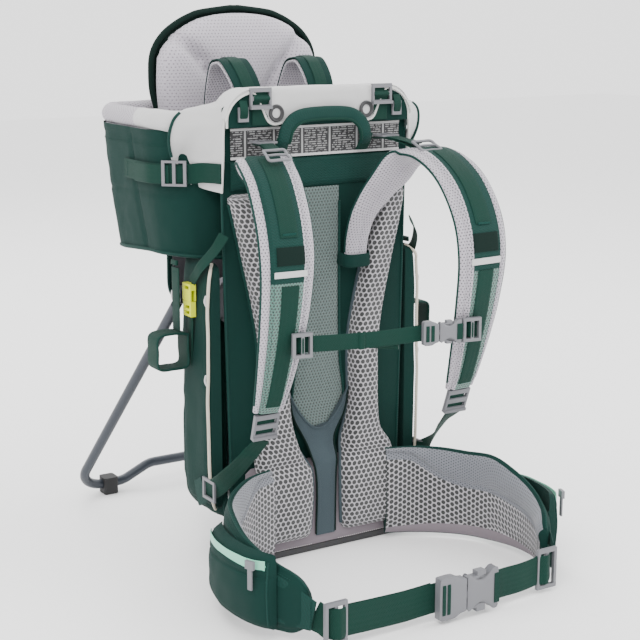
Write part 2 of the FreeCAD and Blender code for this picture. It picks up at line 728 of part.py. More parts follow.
def main():
    os.makedirs("parts", exist_ok=True)
    hip = buckle_parts(52, 14, 40, 46, HIP_WEB)
    chest = buckle_parts(30, 10, 22, 30, CHEST_WEB)
    both = {
        "kickstand_feet": kickstand_foot, "hinge_brackets": hinge_bracket, "pivot_pins": pivot_pin,
        "back_pads": back_pad, "lumbar_cushions": lumbar_cushion, "canopy_sockets": canopy_socket,
        "hip_fins": hip_fin, "hip_pockets": hip_pocket, "hip_zips": hip_zip, "hip_adjusters": hip_adjuster,
        "lower_webs": lower_web, "chest_sliders": chest_slider,
    }
    single = {
        "base_shoe": base_shoe, "back_plate": back_plate, "back_cloth": back_cloth,
        "label_panel": label_panel, "yoke_panel": yoke_panel, "centre_mesh": centre_mesh,
        "spine_channel": spine_channel, "lumbar_core": lumbar_core, "tub_shell": tub_shell,
        "cockpit_hoop": cockpit_hoop, "rim_pad": rim_pad, "front_cover": front_cover,
        "seat_shell": seat_shell, "seat_pad": seat_pad,
        "headrest_pad": headrest_pad, "headrest_shell": headrest_shell, "harness_buckle": harness_buckle,
        "harness_button": harness_button, "lower_bag": lower_bag, "haul_handle": haul_handle,
        "kickstand_tube": kickstand_tube,
    }
    for name, make in single.items():
        save(name, make())
    for name, make in both.items():
        save(name, *[make(side) for side in SIDES])
    for side in SIDES:
        save(f"shoulder_strap_{side}", shoulder_strap(side))
        save(f"strap_lock_{side}", strap_lock(side))
        save(f"zip_pull_{side}", zip_pull(side))
        save(f"stirrup_{side}", stirrup(side))
    save("frame_uprights", *frame_uprights())
    save("frame_cross_bars", cross_bar(FRAME_TOP - 12), cross_bar(52))
    save("harness_webs", *[harness_strap(side) for side in SIDES], crotch_web())
    top_lock = placed(ladder_lock(30, 26, 3.6), (90, -6.2, 602))
    save("top_locks", *[mirrored(top_lock, side) for side in SIDES])
    save("web_rings", *[make(side) for side in SIDES for make in (gear_hook, web_ring)])
    stabilisers = (load_lifter, side_strap, stirrup_anchor)
    save("stabiliser_webs", *[make(side) for side in SIDES for make in stabilisers])
    save("strap_glides", *[make(side) for side in SIDES for make in (side_glide, lifter_glide)])
    save("side_buckles", *[half for side in SIDES for half in side_buckle(side)])
    save("hip_webs", *hip_webs())
    save("chest_webs", *chest_webs())
    for name, shape in hip.items():
        save(f"hip_buckle_{name}", placed(shape, (*HIP_MOUTH, HIP_WEB_Z)))
    for name, shape in chest.items():
        save(f"chest_buckle_{name}", on_chest(shape))


main()
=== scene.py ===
import bpy
import bmesh
import json
import math
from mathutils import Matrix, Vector, noise


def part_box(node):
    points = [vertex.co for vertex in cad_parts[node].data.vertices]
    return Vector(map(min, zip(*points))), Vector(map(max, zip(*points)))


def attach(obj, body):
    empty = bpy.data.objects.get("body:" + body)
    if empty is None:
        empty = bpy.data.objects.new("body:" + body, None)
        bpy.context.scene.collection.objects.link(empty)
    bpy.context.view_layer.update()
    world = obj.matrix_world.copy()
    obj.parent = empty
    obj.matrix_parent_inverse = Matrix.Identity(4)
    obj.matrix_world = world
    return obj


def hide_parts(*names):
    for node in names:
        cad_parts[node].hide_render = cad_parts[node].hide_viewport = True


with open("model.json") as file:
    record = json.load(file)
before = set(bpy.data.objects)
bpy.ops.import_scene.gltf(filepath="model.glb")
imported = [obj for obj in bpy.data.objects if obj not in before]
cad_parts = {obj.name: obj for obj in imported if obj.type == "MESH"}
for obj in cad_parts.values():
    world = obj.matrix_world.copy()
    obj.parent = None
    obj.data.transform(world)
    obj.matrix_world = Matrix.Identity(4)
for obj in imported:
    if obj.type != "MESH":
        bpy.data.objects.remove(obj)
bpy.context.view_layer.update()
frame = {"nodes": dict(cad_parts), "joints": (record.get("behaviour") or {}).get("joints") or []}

nodes = frame["nodes"]
mm = 0.001
sides = {"left": -1, "right": 1}

# camera, floor and lights

studio = {
    "turn": -32.0, "tilt": 12.4, "away": 1.865, "height": 0.722, "lens": 82.3,
    "floorSize": 14.0, "floorColour": (0.93, 0.93, 0.93), "skyColour": (1.0, 1.0, 1.0), "skyStrength": 2.1,
    "lamps": [  # place, size, power, colour
        ((-1.7, -1.6, 2.5), 1.8, 70, (1.0, 0.98, 0.96)),
        ((2.1, -1.2, 1.9), 1.6, 34, (0.96, 0.98, 1.0)),
        ((0.2, 2.2, 2.4), 1.8, 40, (1.0, 1.0, 1.0)),
    ],
}


def setStudio():
    s = studio
    turn = math.radians(s["turn"])
    camera = bpy.data.objects.new("camera", bpy.data.cameras.new("camera"))
    bpy.context.scene.collection.objects.link(camera)
    camera.location = (math.sin(turn) * s["away"], -math.cos(turn) * s["away"], s["height"])
    camera.rotation_euler = (math.radians(90 - s["tilt"]), 0, turn)
    camera.data.lens = s["lens"]
    camera.data.sensor_width = 36
    bpy.context.scene.camera = camera
    half = s["floorSize"] / 2
    floorMesh = bpy.data.meshes.new("floor")
    corners = [(-half, -half, 0), (half, -half, 0), (half, half, 0), (-half, half, 0)]
    floorMesh.from_pydata(corners, [], [(0, 1, 2, 3)])
    floor = bpy.data.objects.new("floor", floorMesh)
    bpy.context.scene.collection.objects.link(floor)
    floor.location.z = -0.0008
    paint = bpy.data.materials.new("floorPaint")
    paint.use_nodes = True
    paint.node_tree.nodes["Principled BSDF"].inputs["Base Color"].default_value = (*s["floorColour"], 1)
    paint.node_tree.nodes["Principled BSDF"].inputs["Roughness"].default_value = 0.9
    floorMesh.materials.append(paint)
    world = bpy.data.worlds.new("sky")
    bpy.context.scene.world = world
    world.use_nodes = True
    sky = world.node_tree.nodes["Background"]
    sky.inputs["Color"].default_value = (*s["skyColour"], 1)
    sky.inputs["Strength"].default_value = s["skyStrength"]
    for place, size, power, colour in s["lamps"]:
        lamp = bpy.data.objects.new("lamp", bpy.data.lights.new("lamp", "AREA"))
        bpy.context.scene.collection.objects.link(lamp)
        lamp.location = place
        lamp.rotation_euler = (Vector((0, 0, 0.35)) - Vector(place)).to_track_quat("-Z", "Y").to_euler()
        lamp.data.size = size
        lamp.data.energy = power
        lamp.data.color = colour


setStudio()
print("studio ready")

# shader writing

class Val:  # a number that varies over the surface
    def __init__(self, look, socket):
        self.look = look
        self.socket = socket

    def __add__(self, o):
        return self.look.maths("ADD", self, o)

    def __radd__(self, o):
        return self.look.maths("ADD", o, self)

    def __sub__(self, o):
        return self.look.maths("SUBTRACT", self, o)

    def __rsub__(self, o):
        return self.look.maths("SUBTRACT", o, self)

    def __mul__(self, o):
        return self.look.maths("MULTIPLY", self, o)

    def __rmul__(self, o):
        return self.look.maths("MULTIPLY", o, self)

    def __truediv__(self, o):
        return self.look.maths("DIVIDE", self, o)

    def __rtruediv__(self, o):
        return self.look.maths("DIVIDE", o, self)

    def __pow__(self, o):
        return self.look.maths("POWER", self, o)

    def __rpow__(self, o):
        return self.look.maths("POWER", o, self)

    def frac(self):
        return self.look.maths("FRACT", self)

    def abs(self):
        return self.look.maths("ABSOLUTE", self)

    def sin(self):
        return self.look.maths("SINE", self)

    def min(self, o):
        return self.look.maths("MINIMUM", self, o)

    def max(self, o):
        return self.look.maths("MAXIMUM", self, o)

    def ramp(self, low, high):  # 0 below low, 1 above high, smooth between
        return self.look.node("ShaderNodeMapRange", {"interpolation_type": "SMOOTHSTEP"},
                              {"Value": self, "From Min": low, "From Max": high})["Result"]


class Look:  # one material and its node tree
    def __init__(self, name, fixed):  # fixed: socket names and their values
        self.material = bpy.data.materials.new(name)
        self.material.use_nodes = True
        self.tree = self.material.node_tree
        self.shader = self.tree.nodes["Principled BSDF"]
        for socket, value in fixed.items():
            self.shader.inputs[socket].default_value = value

    def feed(self, socket, item):
        if isinstance(item, Val):
            self.tree.links.new(item.socket, socket)
        elif isinstance(item, (tuple, list)) and len(item) == 3 and socket.type == "RGBA":
            socket.default_value = (*item, 1)
        else:
            socket.default_value = item

    def node(self, kind, settings=None, feeds=None):
        made = self.tree.nodes.new(kind)
        for key, value in (settings or {}).items():
            setattr(made, key, value)
        for key, item in (feeds or {}).items():
            self.feed(made.inputs[key], item)
        return {key: Val(self, o) for i, o in enumerate(made.outputs) for key in (i, o.name)}

    def maths(self, operation, *items):
        return self.node("ShaderNodeMath", {"operation": operation}, dict(enumerate(items)))[0]

    def mix(self, share, a, b):  # colours
        return self.node("ShaderNodeMix", {"data_type": "RGBA"}, {0: share, 6: a, 7: b})[2]

    def strip(self):  # u across and v along a sewn piece, in metres
        parts = self.node("ShaderNodeSeparateXYZ", {}, {"Vector": self.node("ShaderNodeTexCoord")["UV"]})
        return parts["X"], parts["Y"]

    def cloud(self, scale, detail=3.0, rough=0.55):
        at = self.node("ShaderNodeTexCoord")["Object"]
        return self.node("ShaderNodeTexNoise", {}, {"Vector": at, "Scale": scale, "Detail": detail,
                                                    "Roughness": rough})["Fac"]

    def colour(self, item):
        self.feed(self.shader.inputs["Base Color"], item)

    def rough(self, item):
        self.feed(self.shader.inputs["Roughness"], item)

    def bump(self, height, distance, strength=1.0, over=None):
        feeds = {"Height": height, "Distance": distance, "Strength": strength}
        if over is not None:
            feeds["Normal"] = over
        out = self.node("ShaderNodeBump", {}, feeds)["Normal"]
        self.feed(self.shader.inputs["Normal"], out)
        return out


def tint(colour, factor):
    return tuple(min(1.0, c * factor) for c in colour)


# hexDots gives the hole mask that places the painted hole shade
def hexDots(u, v, cell, radius, soft):  # 1 inside the holes of a staggered mesh, 0 on its threads
    rise = 1.732  # two staggered rows, in cells
    across, along = u / cell, v / (cell * rise)
    firstX, firstY = across.frac() - 0.5, (along.frac() - 0.5) * rise
    nextX, nextY = (across + 0.5).frac() - 0.5, ((along + 0.5).frac() - 0.5) * rise
    nearest = (firstX * firstX + firstY * firstY).min(nextX * nextX + nextY * nextY) ** 0.5
    return 1 - nearest.ramp(radius - soft, radius + soft)


def clothLook(name, colour, thread=0.0011, shade=0.16, roughness=0.76, sheen=0.02, gloss=0.0):
    look = Look(name, {"Sheen Weight": sheen, "Sheen Roughness": 0.5, "Coat Weight": gloss,
                       "Specular IOR Level": 0.12})
    u, v = look.strip()
    turns = 2 * math.pi / thread
    weave = (u * turns).sin() * (v * turns).sin() * 0.5 + 0.5
    patches = look.cloud(14.0)
    worn = look.cloud(90.0, 4.0)
    mixShare = patches * 0.6 + weave * 0.25 + worn * 0.15
    look.colour(look.mix(mixShare, tint(colour, 1 - shade), tint(colour, 1 + shade)))
    look.rough(patches * 0.12 + (roughness - 0.06))
    creases = look.bump(look.cloud(38.0, 3.0), 0.0012, 0.35)
    look.bump(weave, 0.00022, 0.8, creases)
    return look.material


def webbingLook(name, colour, rib=0.0021, roughness=0.6):
    look = Look(name, {"Sheen Weight": 0.02, "Specular IOR Level": 0.15})
    u, v = look.strip()
    slant = ((u / 0.0062).frac() - 0.5).abs() * 0.0045
    ribs = ((v + slant) * (2 * math.pi / rib)).sin() * 0.5 + 0.5
    yarns = (u * (2 * math.pi / 0.0013)).sin() * 0.5 + 0.5
    patches = look.cloud(22.0)
    look.colour(look.mix(ribs * 0.35 + patches * 0.45 + yarns * 0.2, tint(colour, 0.72), tint(colour, 1.3)))
    look.rough(patches * 0.15 + roughness)
    look.bump(ribs * 0.7 + yarns * 0.3, 0.0004, 0.9)
    return look.material


# dark is painted shade for the inside of the holes
def holedLook(name, colour, dark, cell, radius, depth=0.0012, roughness=0.78, soft=0.12):
    look = Look(name, {"Sheen Weight": 0.3, "Sheen Roughness": 0.6})
    u, v = look.strip()
    holes = hexDots(u, v, cell, radius, soft)
    turns = 2 * math.pi / 0.0009
    knit = (u * turns).sin() * (v * turns).sin() * 0.5 + 0.5
    patches = look.cloud(9.0)
    yarn = look.mix(patches * 0.7 + knit * 0.3, tint(colour, 0.86), tint(colour, 1.1))
    # painted shade: the holes take the dark colour, the threads keep the yarn colour
    look.colour(look.mix(holes, yarn, dark))
    look.rough(patches * 0.1 + roughness - 0.05)
    look.bump((1 - holes) * 0.85 + knit * 0.15, depth, 0.9)
    return look.material


def plasticLook(name, colour, roughness=0.42, grain=420.0):
    look = Look(name, {"Specular IOR Level": 0.5})
    patches = look.cloud(30.0)
    fine = look.cloud(grain, 2.0)
    scuffs = look.cloud(160.0, 6.0, 0.7).ramp(0.62, 0.72)
    look.colour(look.mix(patches * 0.5 + scuffs * 0.5, tint(colour, 0.9), tint(colour, 1.18)))
    look.rough(patches * 0.12 + scuffs * 0.18 + (roughness - 0.06))
    look.bump(fine, 0.00012, 0.5)
    return look.material


def metalLook(name, colour, metallic, roughness, grain):
    look = Look(name, {"Metallic": metallic, "Coat Weight": 0.15, "Coat Roughness": 0.3})
    patches = look.cloud(18.0)
    fine = look.cloud(grain, 2.0)
    rubbed = look.cloud(70.0, 5.0, 0.7).ramp(0.6, 0.75)
    look.colour(look.mix(rubbed * 0.5 + patches * 0.3, tint(colour, 0.88), tint(colour, 1.35)))
    look.rough(patches * 0.1 + rubbed * 0.12 + roughness)
    look.bump(fine, 0.00015, 0.4)
    return look.material


def sheetLook(name):  # dark care panel: pale hairline boxes filled with plain grey bars
    look = Look(name, {"Specular IOR Level": 0.4})
    u, v = look.strip()
    column = (u / 0.0413 + 0.5).frac()
    row = (v / 0.0028).frac()
    ragged = look.node("ShaderNodeTexNoise", {"noise_dimensions": "2D"}, {
        "Vector": look.node("ShaderNodeTexCoord")["UV"], "Scale": 260.0, "Detail": 1.0})["Fac"]
    bars = (row - 0.5).abs().ramp(0.2, 0.3)
    inside = ((column - 0.5).abs() - 0.41).ramp(-0.01, 0.01)
    ink = (1 - bars) * (1 - inside) * ragged.ramp(0.42, 0.5)
    frameLine = ((column - 0.5).abs() - 0.468).ramp(-0.006, 0.004)
    look.colour(look.mix((ink * 0.5).max(frameLine * 0.6), (0.018, 0.018, 0.02), (0.5, 0.5, 0.5)))
    look.rough(look.cloud(40.0) * 0.2 + 0.4)
    look.bump(look.cloud(60.0), 0.0006, 0.3)
    return look.material


# meshHoleShade and combHoleShade are painted shade for the holes of the spacer and comb meshes
shades = {
    "green": (0.0024, 0.0225, 0.0180), "deepGreen": (0.0014, 0.0100, 0.0075), "web": (0.0014, 0.0250, 0.0170),
    "pale": (0.47, 0.47, 0.47), "mesh": (0.375, 0.35, 0.395), "meshHoleShade": (0.05, 0.045, 0.055),
    "comb": (0.42, 0.405, 0.435), "combHoleShade": (0.009, 0.011, 0.011), "net": (0.070, 0.112, 0.104),
    "slate": (0.045, 0.064, 0.074), "mauve": (0.185, 0.16, 0.18), "mint": (0.19, 0.55, 0.39),
    "plastic": (0.135, 0.137, 0.150), "cream": (0.52, 0.48, 0.40), "tube": (0.028, 0.034, 0.045),
    "yellow": (0.60, 0.66, 0.01), "black": (0.010, 0.010, 0.011),
}
looks = {
    "greenCloth": clothLook("greenCloth", shades["green"]),
    "greenRib": webbingLook("greenRib", tint(shades["green"], 1.25), 0.0034),
    "deepCloth": clothLook("deepCloth", shades["deepGreen"]),
    "greenWeb": webbingLook("greenWeb", shades["web"]),
    "paleCloth": clothLook("paleCloth", shades["pale"], 0.0012, 0.07, 0.8, 0.4),
    "creamTape": webbingLook("creamTape", shades["cream"], 0.0016),
    # the second colour of each holed look is painted shade inside its holes
    "spacerMesh": holedLook("spacerMesh", shades["mesh"], shades["meshHoleShade"], 0.0042, 0.19),
    "headMesh": holedLook("headMesh", tint(shades["mesh"], 1.12), (0.20, 0.18, 0.21), 0.0050, 0.17, 0.0009,
                          0.8, 0.1),
    "combMesh": holedLook("combMesh", shades["comb"], shades["combHoleShade"], 0.0074, 0.40, 0.0022, 0.75, 0.05),
    "slateMesh": holedLook("slateMesh", (0.15, 0.16, 0.185), (0.03, 0.033, 0.04), 0.0040, 0.24, 0.0009),
    "netMesh": holedLook("netMesh", shades["net"], (0.012, 0.022, 0.020), 0.0046, 0.30, 0.0008, 0.7, 0.12),
    "strapNet": holedLook("strapNet", (0.045, 0.14, 0.11), (0.006, 0.016, 0.014), 0.0042, 0.30, 0.0008,
                          0.65, 0.1),
    "slateCloth": clothLook("slateCloth", shades["slate"], 0.0009, 0.08, 0.6),
    "mauveCloth": clothLook("mauveCloth", shades["mauve"], 0.0013, 0.12, 0.75),
    "mintTape": clothLook("mintTape", shades["mint"], 0.0008, 0.06, 0.4, 0.1, 0.3),
    "thread": clothLook("thread", tint(shades["green"], 1.7), 0.0005),
    "paleThread": clothLook("paleThread", (0.6, 0.6, 0.58), 0.0005),
    "carePanel": sheetLook("carePanel"),
    "greyPlastic": plasticLook("greyPlastic", shades["plastic"]),
    "darkPlastic": plasticLook("darkPlastic", (0.022, 0.022, 0.024)),
    "yellowPlastic": plasticLook("yellowPlastic", shades["yellow"], 0.38),
    "redPlastic": plasticLook("redPlastic", (0.45, 0.03, 0.02)),
    "stiffener": plasticLook("stiffener", (0.05, 0.05, 0.055)),
    "tubePaint": metalLook("tubePaint", shades["tube"], 0.35, 0.36, 700.0),
    "bareTube": metalLook("bareTube", (0.62, 0.62, 0.64), 1.0, 0.28, 500.0),
    "pinSteel": metalLook("pinSteel", (0.5, 0.5, 0.5), 1.0, 0.25, 600.0),
    "rubber": plasticLook("rubber", shades["black"], 0.72, 260.0),
}
print("materials ready", len(looks))

# mesh making, in millimetres


def smooth(points, count):  # evenly spaced points on a soft curve through the given ones
    pts = [Vector(p) for p in points]
    if len(pts) == 2:
        return [pts[0].lerp(pts[1], i / count) for i in range(count + 1)]
    fine = []
    for i in range(len(pts) - 1):
        p0, p1, p2, p3 = pts[max(i - 1, 0)], pts[i], pts[i + 1], pts[min(i + 2, len(pts) - 1)]
        for k in range(16):
            t = k / 16
            fine.append(0.5 * (2 * p1 + (p2 - p0) * t + (2 * p0 - 5 * p1 + 4 * p2 - p3) * t * t
                               + (3 * p1 - p0 - 3 * p2 + p3) * t * t * t))
    fine.append(pts[-1])
    run = [0.0]
    for a, b in zip(fine, fine[1:]):
        run.append(run[-1] + (b - a).length)
    made, k = [], 0
    for i in range(count + 1):
        want = run[-1] * i / count
        while k < len(run) - 2 and run[k + 1] < want:
            k += 1
        span = max(run[k + 1] - run[k], 1e-9)
        made.append(fine[k].lerp(fine[k + 1], min(1, max(0, (want - run[k]) / span))))
    return made


def course(stops, t):  # a soft curve through (place, value) stops
    last = len(stops) - 1
    if t <= stops[0][0]:
        return stops[0][1]
    if t >= stops[last][0]:
        return stops[last][1]
    i = next(k for k in range(last) if t <= stops[k + 1][0])

    def lean(k):
        a, b = stops[max(k - 1, 0)], stops[min(k + 1, last)]
        return (b[1] - a[1]) / (b[0] - a[0])
    (a, va), (b, vb) = stops[i], stops[i + 1]
    k, span = (t - a) / (b - a), b - a
    return ((1 + 2 * k) * (1 - k) ** 2 * va + k * (1 - k) ** 2 * span * lean(i)
            + k * k * (3 - 2 * k) * vb + k * k * (k - 1) * span * lean(i + 1))


def nip(gap, radius):  # how far a rounded corner pulls an edge in, at a distance from the end
    return radius - math.sqrt(max(0.0, radius ** 2 - (radius - gap) ** 2)) if gap < radius else 0.0


def dip(gap, width, depth):  # a sewn groove
    return depth * math.exp(-(gap / width) ** 2)


def rounded(points, bend):  # corners turned into arcs
    pts = [Vector(p) for p in points]
    made = [pts[0]]
    for a, b, c in zip(pts, pts[1:], pts[2:]):
        reach = min(bend, (a - b).length / 2, (c - b).length / 2)
        start, end = b + (a - b).normalized() * reach, b + (c - b).normalized() * reach
        made += [start.lerp(b, k / 6).lerp(b.lerp(end, k / 6), k / 6) for k in range(7)]
    return made + [pts[-1]]


def frames(path, across, count):  # places along a strap, with its width and outward directions
    pts = smooth(path, count)
    made = []
    for j, p in enumerate(pts):
        ahead = (pts[min(j + 1, count)] - pts[max(j - 1, 0)]).normalized()
        side = Vector(across(j / count) if callable(across) else across)
        side = (side - ahead * side.dot(ahead)).normalized()
        made.append((p, side, ahead.cross(side)))
    return made


def crown(s, power=4.0):  # 0 at both ends, 1 in the middle, full shoulders
    return max(0.0, 1 - abs(2 * s - 1) ** power) ** (1 / 2.2)


def ripple(p, scale, amount, seed=0.0):
    return noise.noise(Vector((p[0] / scale + seed, p[1] / scale, p[2] / scale))) * amount


def roundSection(width, thick, count=20, flat=5.0):
    ring = []
    for i in range(count):
        a = 2 * math.pi * i / count
        c, s = math.cos(a), math.sin(a)
        ring.append((math.copysign(abs(c) ** (2 / flat), c) * width / 2,
                     math.copysign(abs(s) ** (2 / 2.4), s) * thick / 2))
    return ring


def mirrored(s, points):  # points of the right side, moved to side s
    return [(s * x, y, z) for x, y, z in points]

def flattened(surface, y):  # the same outline at one depth
    def point(s, t):
        x, _, z = surface(s, t)
        return x, y, z
    return point

class Piece:  # gathers the sewn or moulded parts of one piece
    def __init__(self, name):
        self.name = name
        self.verts, self.faces, self.uvs, self.marks, self.finishes = [], [], [], [], []

    def mark(self, finish, s=0, t=0):  # the number of a finish, or of the one used at s and t
        finish = finish(s, t) if callable(finish) else finish
        if finish not in self.finishes:
            self.finishes.append(finish)
        return self.finishes.index(finish)

    def grid(self, rows, finish, wrap=False, ends=False):
        base, wide = len(self.verts), len(rows[0])
        for row in rows:
            self.verts.extend(Vector(p) * mm for p in row)
        along = [0.0]
        for a, b in zip(rows, rows[1:]):
            steps = [(Vector(q) - Vector(p)).length for p, q in zip(a, b)]
            along.append(along[-1] + sum(steps) / len(steps))
        across = []
        for row in rows:
            run = [0.0]
            for a, b in zip(row, row[1:] + row[:1]):
                run.append(run[-1] + (Vector(b) - Vector(a)).length)
            shift = 0 if wrap else run[-2] / 2
            across.append([r - shift for r in run])
        columns = wide if wrap else wide - 1
        for j in range(len(rows) - 1):
            for i in range(columns):
                k = (i + 1) % wide
                self.faces.append((base + j * wide + i, base + j * wide + k,
                                   base + (j + 1) * wide + k, base + (j + 1) * wide + i))
                near, far = along[j] * mm, along[j + 1] * mm
                self.uvs.append([(across[j][i] * mm, near), (across[j][i + 1] * mm, near),
                                 (across[j + 1][i + 1] * mm, far), (across[j + 1][i] * mm, far)])
                self.marks.append(self.mark(finish, i / columns, j / (len(rows) - 1)))
        if ends:
            for j in (0, len(rows) - 1):
                self.faces.append(tuple(base + j * wide + i for i in range(wide)))
                self.uvs.append([(across[j][i] * mm, along[j] * mm) for i in range(wide)])
                self.marks.append(self.mark(finish, 0, j / (len(rows) - 1)))

    def tube(self, points, radius, finish, sides=10, closed=False, count=None):
        path = smooth(list(points) + ([points[0]] if closed else []), count or max(6, 6 * len(points)))
        rows, side = [], None
        for j, p in enumerate(path):
            if closed:
                ahead = path[(j + 1) % (len(path) - 1)] - path[(j - 1) % (len(path) - 1)]
            else:
                ahead = path[min(j + 1, len(path) - 1)] - path[max(j - 1, 0)]
            ahead.normalize()
            if side is None:
                side = ahead.orthogonal().normalized()
            side = (side - ahead * side.dot(ahead)).normalized()
            up = ahead.cross(side)
            r = radius(j / (len(path) - 1)) if callable(radius) else radius
            turns = [2 * math.pi * k / sides for k in range(sides)]
            rows.append([p + side * math.cos(a) * r + up * math.sin(a) * r for a in turns])
        self.grid(rows, finish, True, not closed)

    def band(self, path, width, thick, finish, across=(1, 0, 0), count=40, lift=0.0, flat=7.0, ring=14):
        rows = []
        for j, (p, side, out) in enumerate(frames(path, across, count)):
            w = width(j / count) if callable(width) else width
            h = thick(j / count) if callable(thick) else thick
            rows.append([p + side * a + out * (n + lift) for a, n in roundSection(w, h, ring, flat)])
        self.grid(rows, finish, True, True)

    def skin(self, front, back, across, along, finish):  # closed pillow from two surfaces over s and t
        rows = []
        for j in range(along + 1):
            t = j / along
            row = [front(i / across, t) for i in range(across + 1)]
            row += [back(1 - i / across, t) for i in range(1, across)]
            rows.append([Vector(p) for p in row])
        self.grid(rows, finish, True, True)

    def stitches(self, points, finish="thread", pitch=3.2, length=2.1, radius=0.32):
        line = smooth(points, 60)
        total = sum((b - a).length for a, b in zip(line, line[1:]))
        number = int(total / pitch)
        if number < 1:
            return
        line = smooth(points, number)
        for a, b in zip(line, line[1:]):
            ahead = (b - a).normalized()
            side = ahead.orthogonal().normalized()
            up = ahead.cross(side)
            mid, half = (a + b) / 2, ahead * length / 2
            ring = [side * radius, up * radius, -side * radius, -up * radius]
            stops = ((-1, 0.4), (-0.6, 1), (0.6, 1), (1, 0.4))  # place along the stitch, and fullness
            rows = [[mid + half * place + r * full for r in ring] for place, full in stops]
            self.grid(rows, finish, True, True)

    def make(self, body, slot, *replaced, sharp=38):
        mesh = bpy.data.meshes.new(self.name)
        mesh.from_pydata([tuple(v) for v in self.verts], [], self.faces)
        layer = mesh.uv_layers.new(name="cut")
        flatUv = [c for face in self.uvs for uv in face for c in uv]
        layer.data.foreach_set("uv", flatUv)
        mesh.polygons.foreach_set("material_index", self.marks)
        for finish in self.finishes:
            mesh.materials.append(looks[finish])
        work = bmesh.new()
        work.from_mesh(mesh)
        bmesh.ops.remove_doubles(work, verts=work.verts, dist=0.00001)
        bmesh.ops.recalc_face_normals(work, faces=work.faces)
        work.to_mesh(mesh)
        work.free()
        mesh.polygons.foreach_set("use_smooth", [True] * len(mesh.polygons))
        mesh.set_sharp_from_angle(angle=math.radians(sharp))
        made = bpy.data.objects.new(self.name, mesh)
        bpy.context.scene.collection.objects.link(made)
        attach(made, body)
        if replaced:
            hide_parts(*replaced)
        return made


def finishNode(name, finish, bevel=0.0, segments=2):  # a CAD piece keeps its shape and gets its finish
    shown = nodes[name]
    shown.data.materials.clear()
    shown.data.materials.append(looks[finish])
    if bevel:
        soft = shown.modifiers.new("edges", "BEVEL")
        soft.width = bevel * mm
        soft.segments = segments
        soft.limit_method = "ANGLE"
        soft.angle_limit = math.radians(40)
        soft.harden_normals = False
    shown.data.polygons.foreach_set("use_smooth", [True] * len(shown.data.polygons))
    shown.data.set_sharp_from_angle(angle=math.radians(35))


# shoulder straps

strapCut = {
    "root": [(52, -3, 388, 32), (53, -6, 420, 34), (58, -18, 456, 40), (80, -31, 492, 52),
             (106, -46, 522, 64)],
    "free": [(118, -78, 528, 72), (124, -118, 505, 74), (127, -148, 460, 74), (128, -158, 410, 72),
             (129, -150, 350, 66), (131, -134, 290, 56), (134, -114, 232, 42)],
    "reach": {"left": 0.84, "right": 1.1}, "thick": 14.5, "rows": 150, "ring": 26, "bandShare": 0.66,
    "webWidth": 24, "webEnd": 446, "patch": (441, 416), "shine": (411, 401), "netTop": 398,
}


def strapPath(name):
    reach = strapCut["reach"][name]
    return strapCut["root"] + [(x, y * reach, z, w) for x, y, z, w in strapCut["free"]]


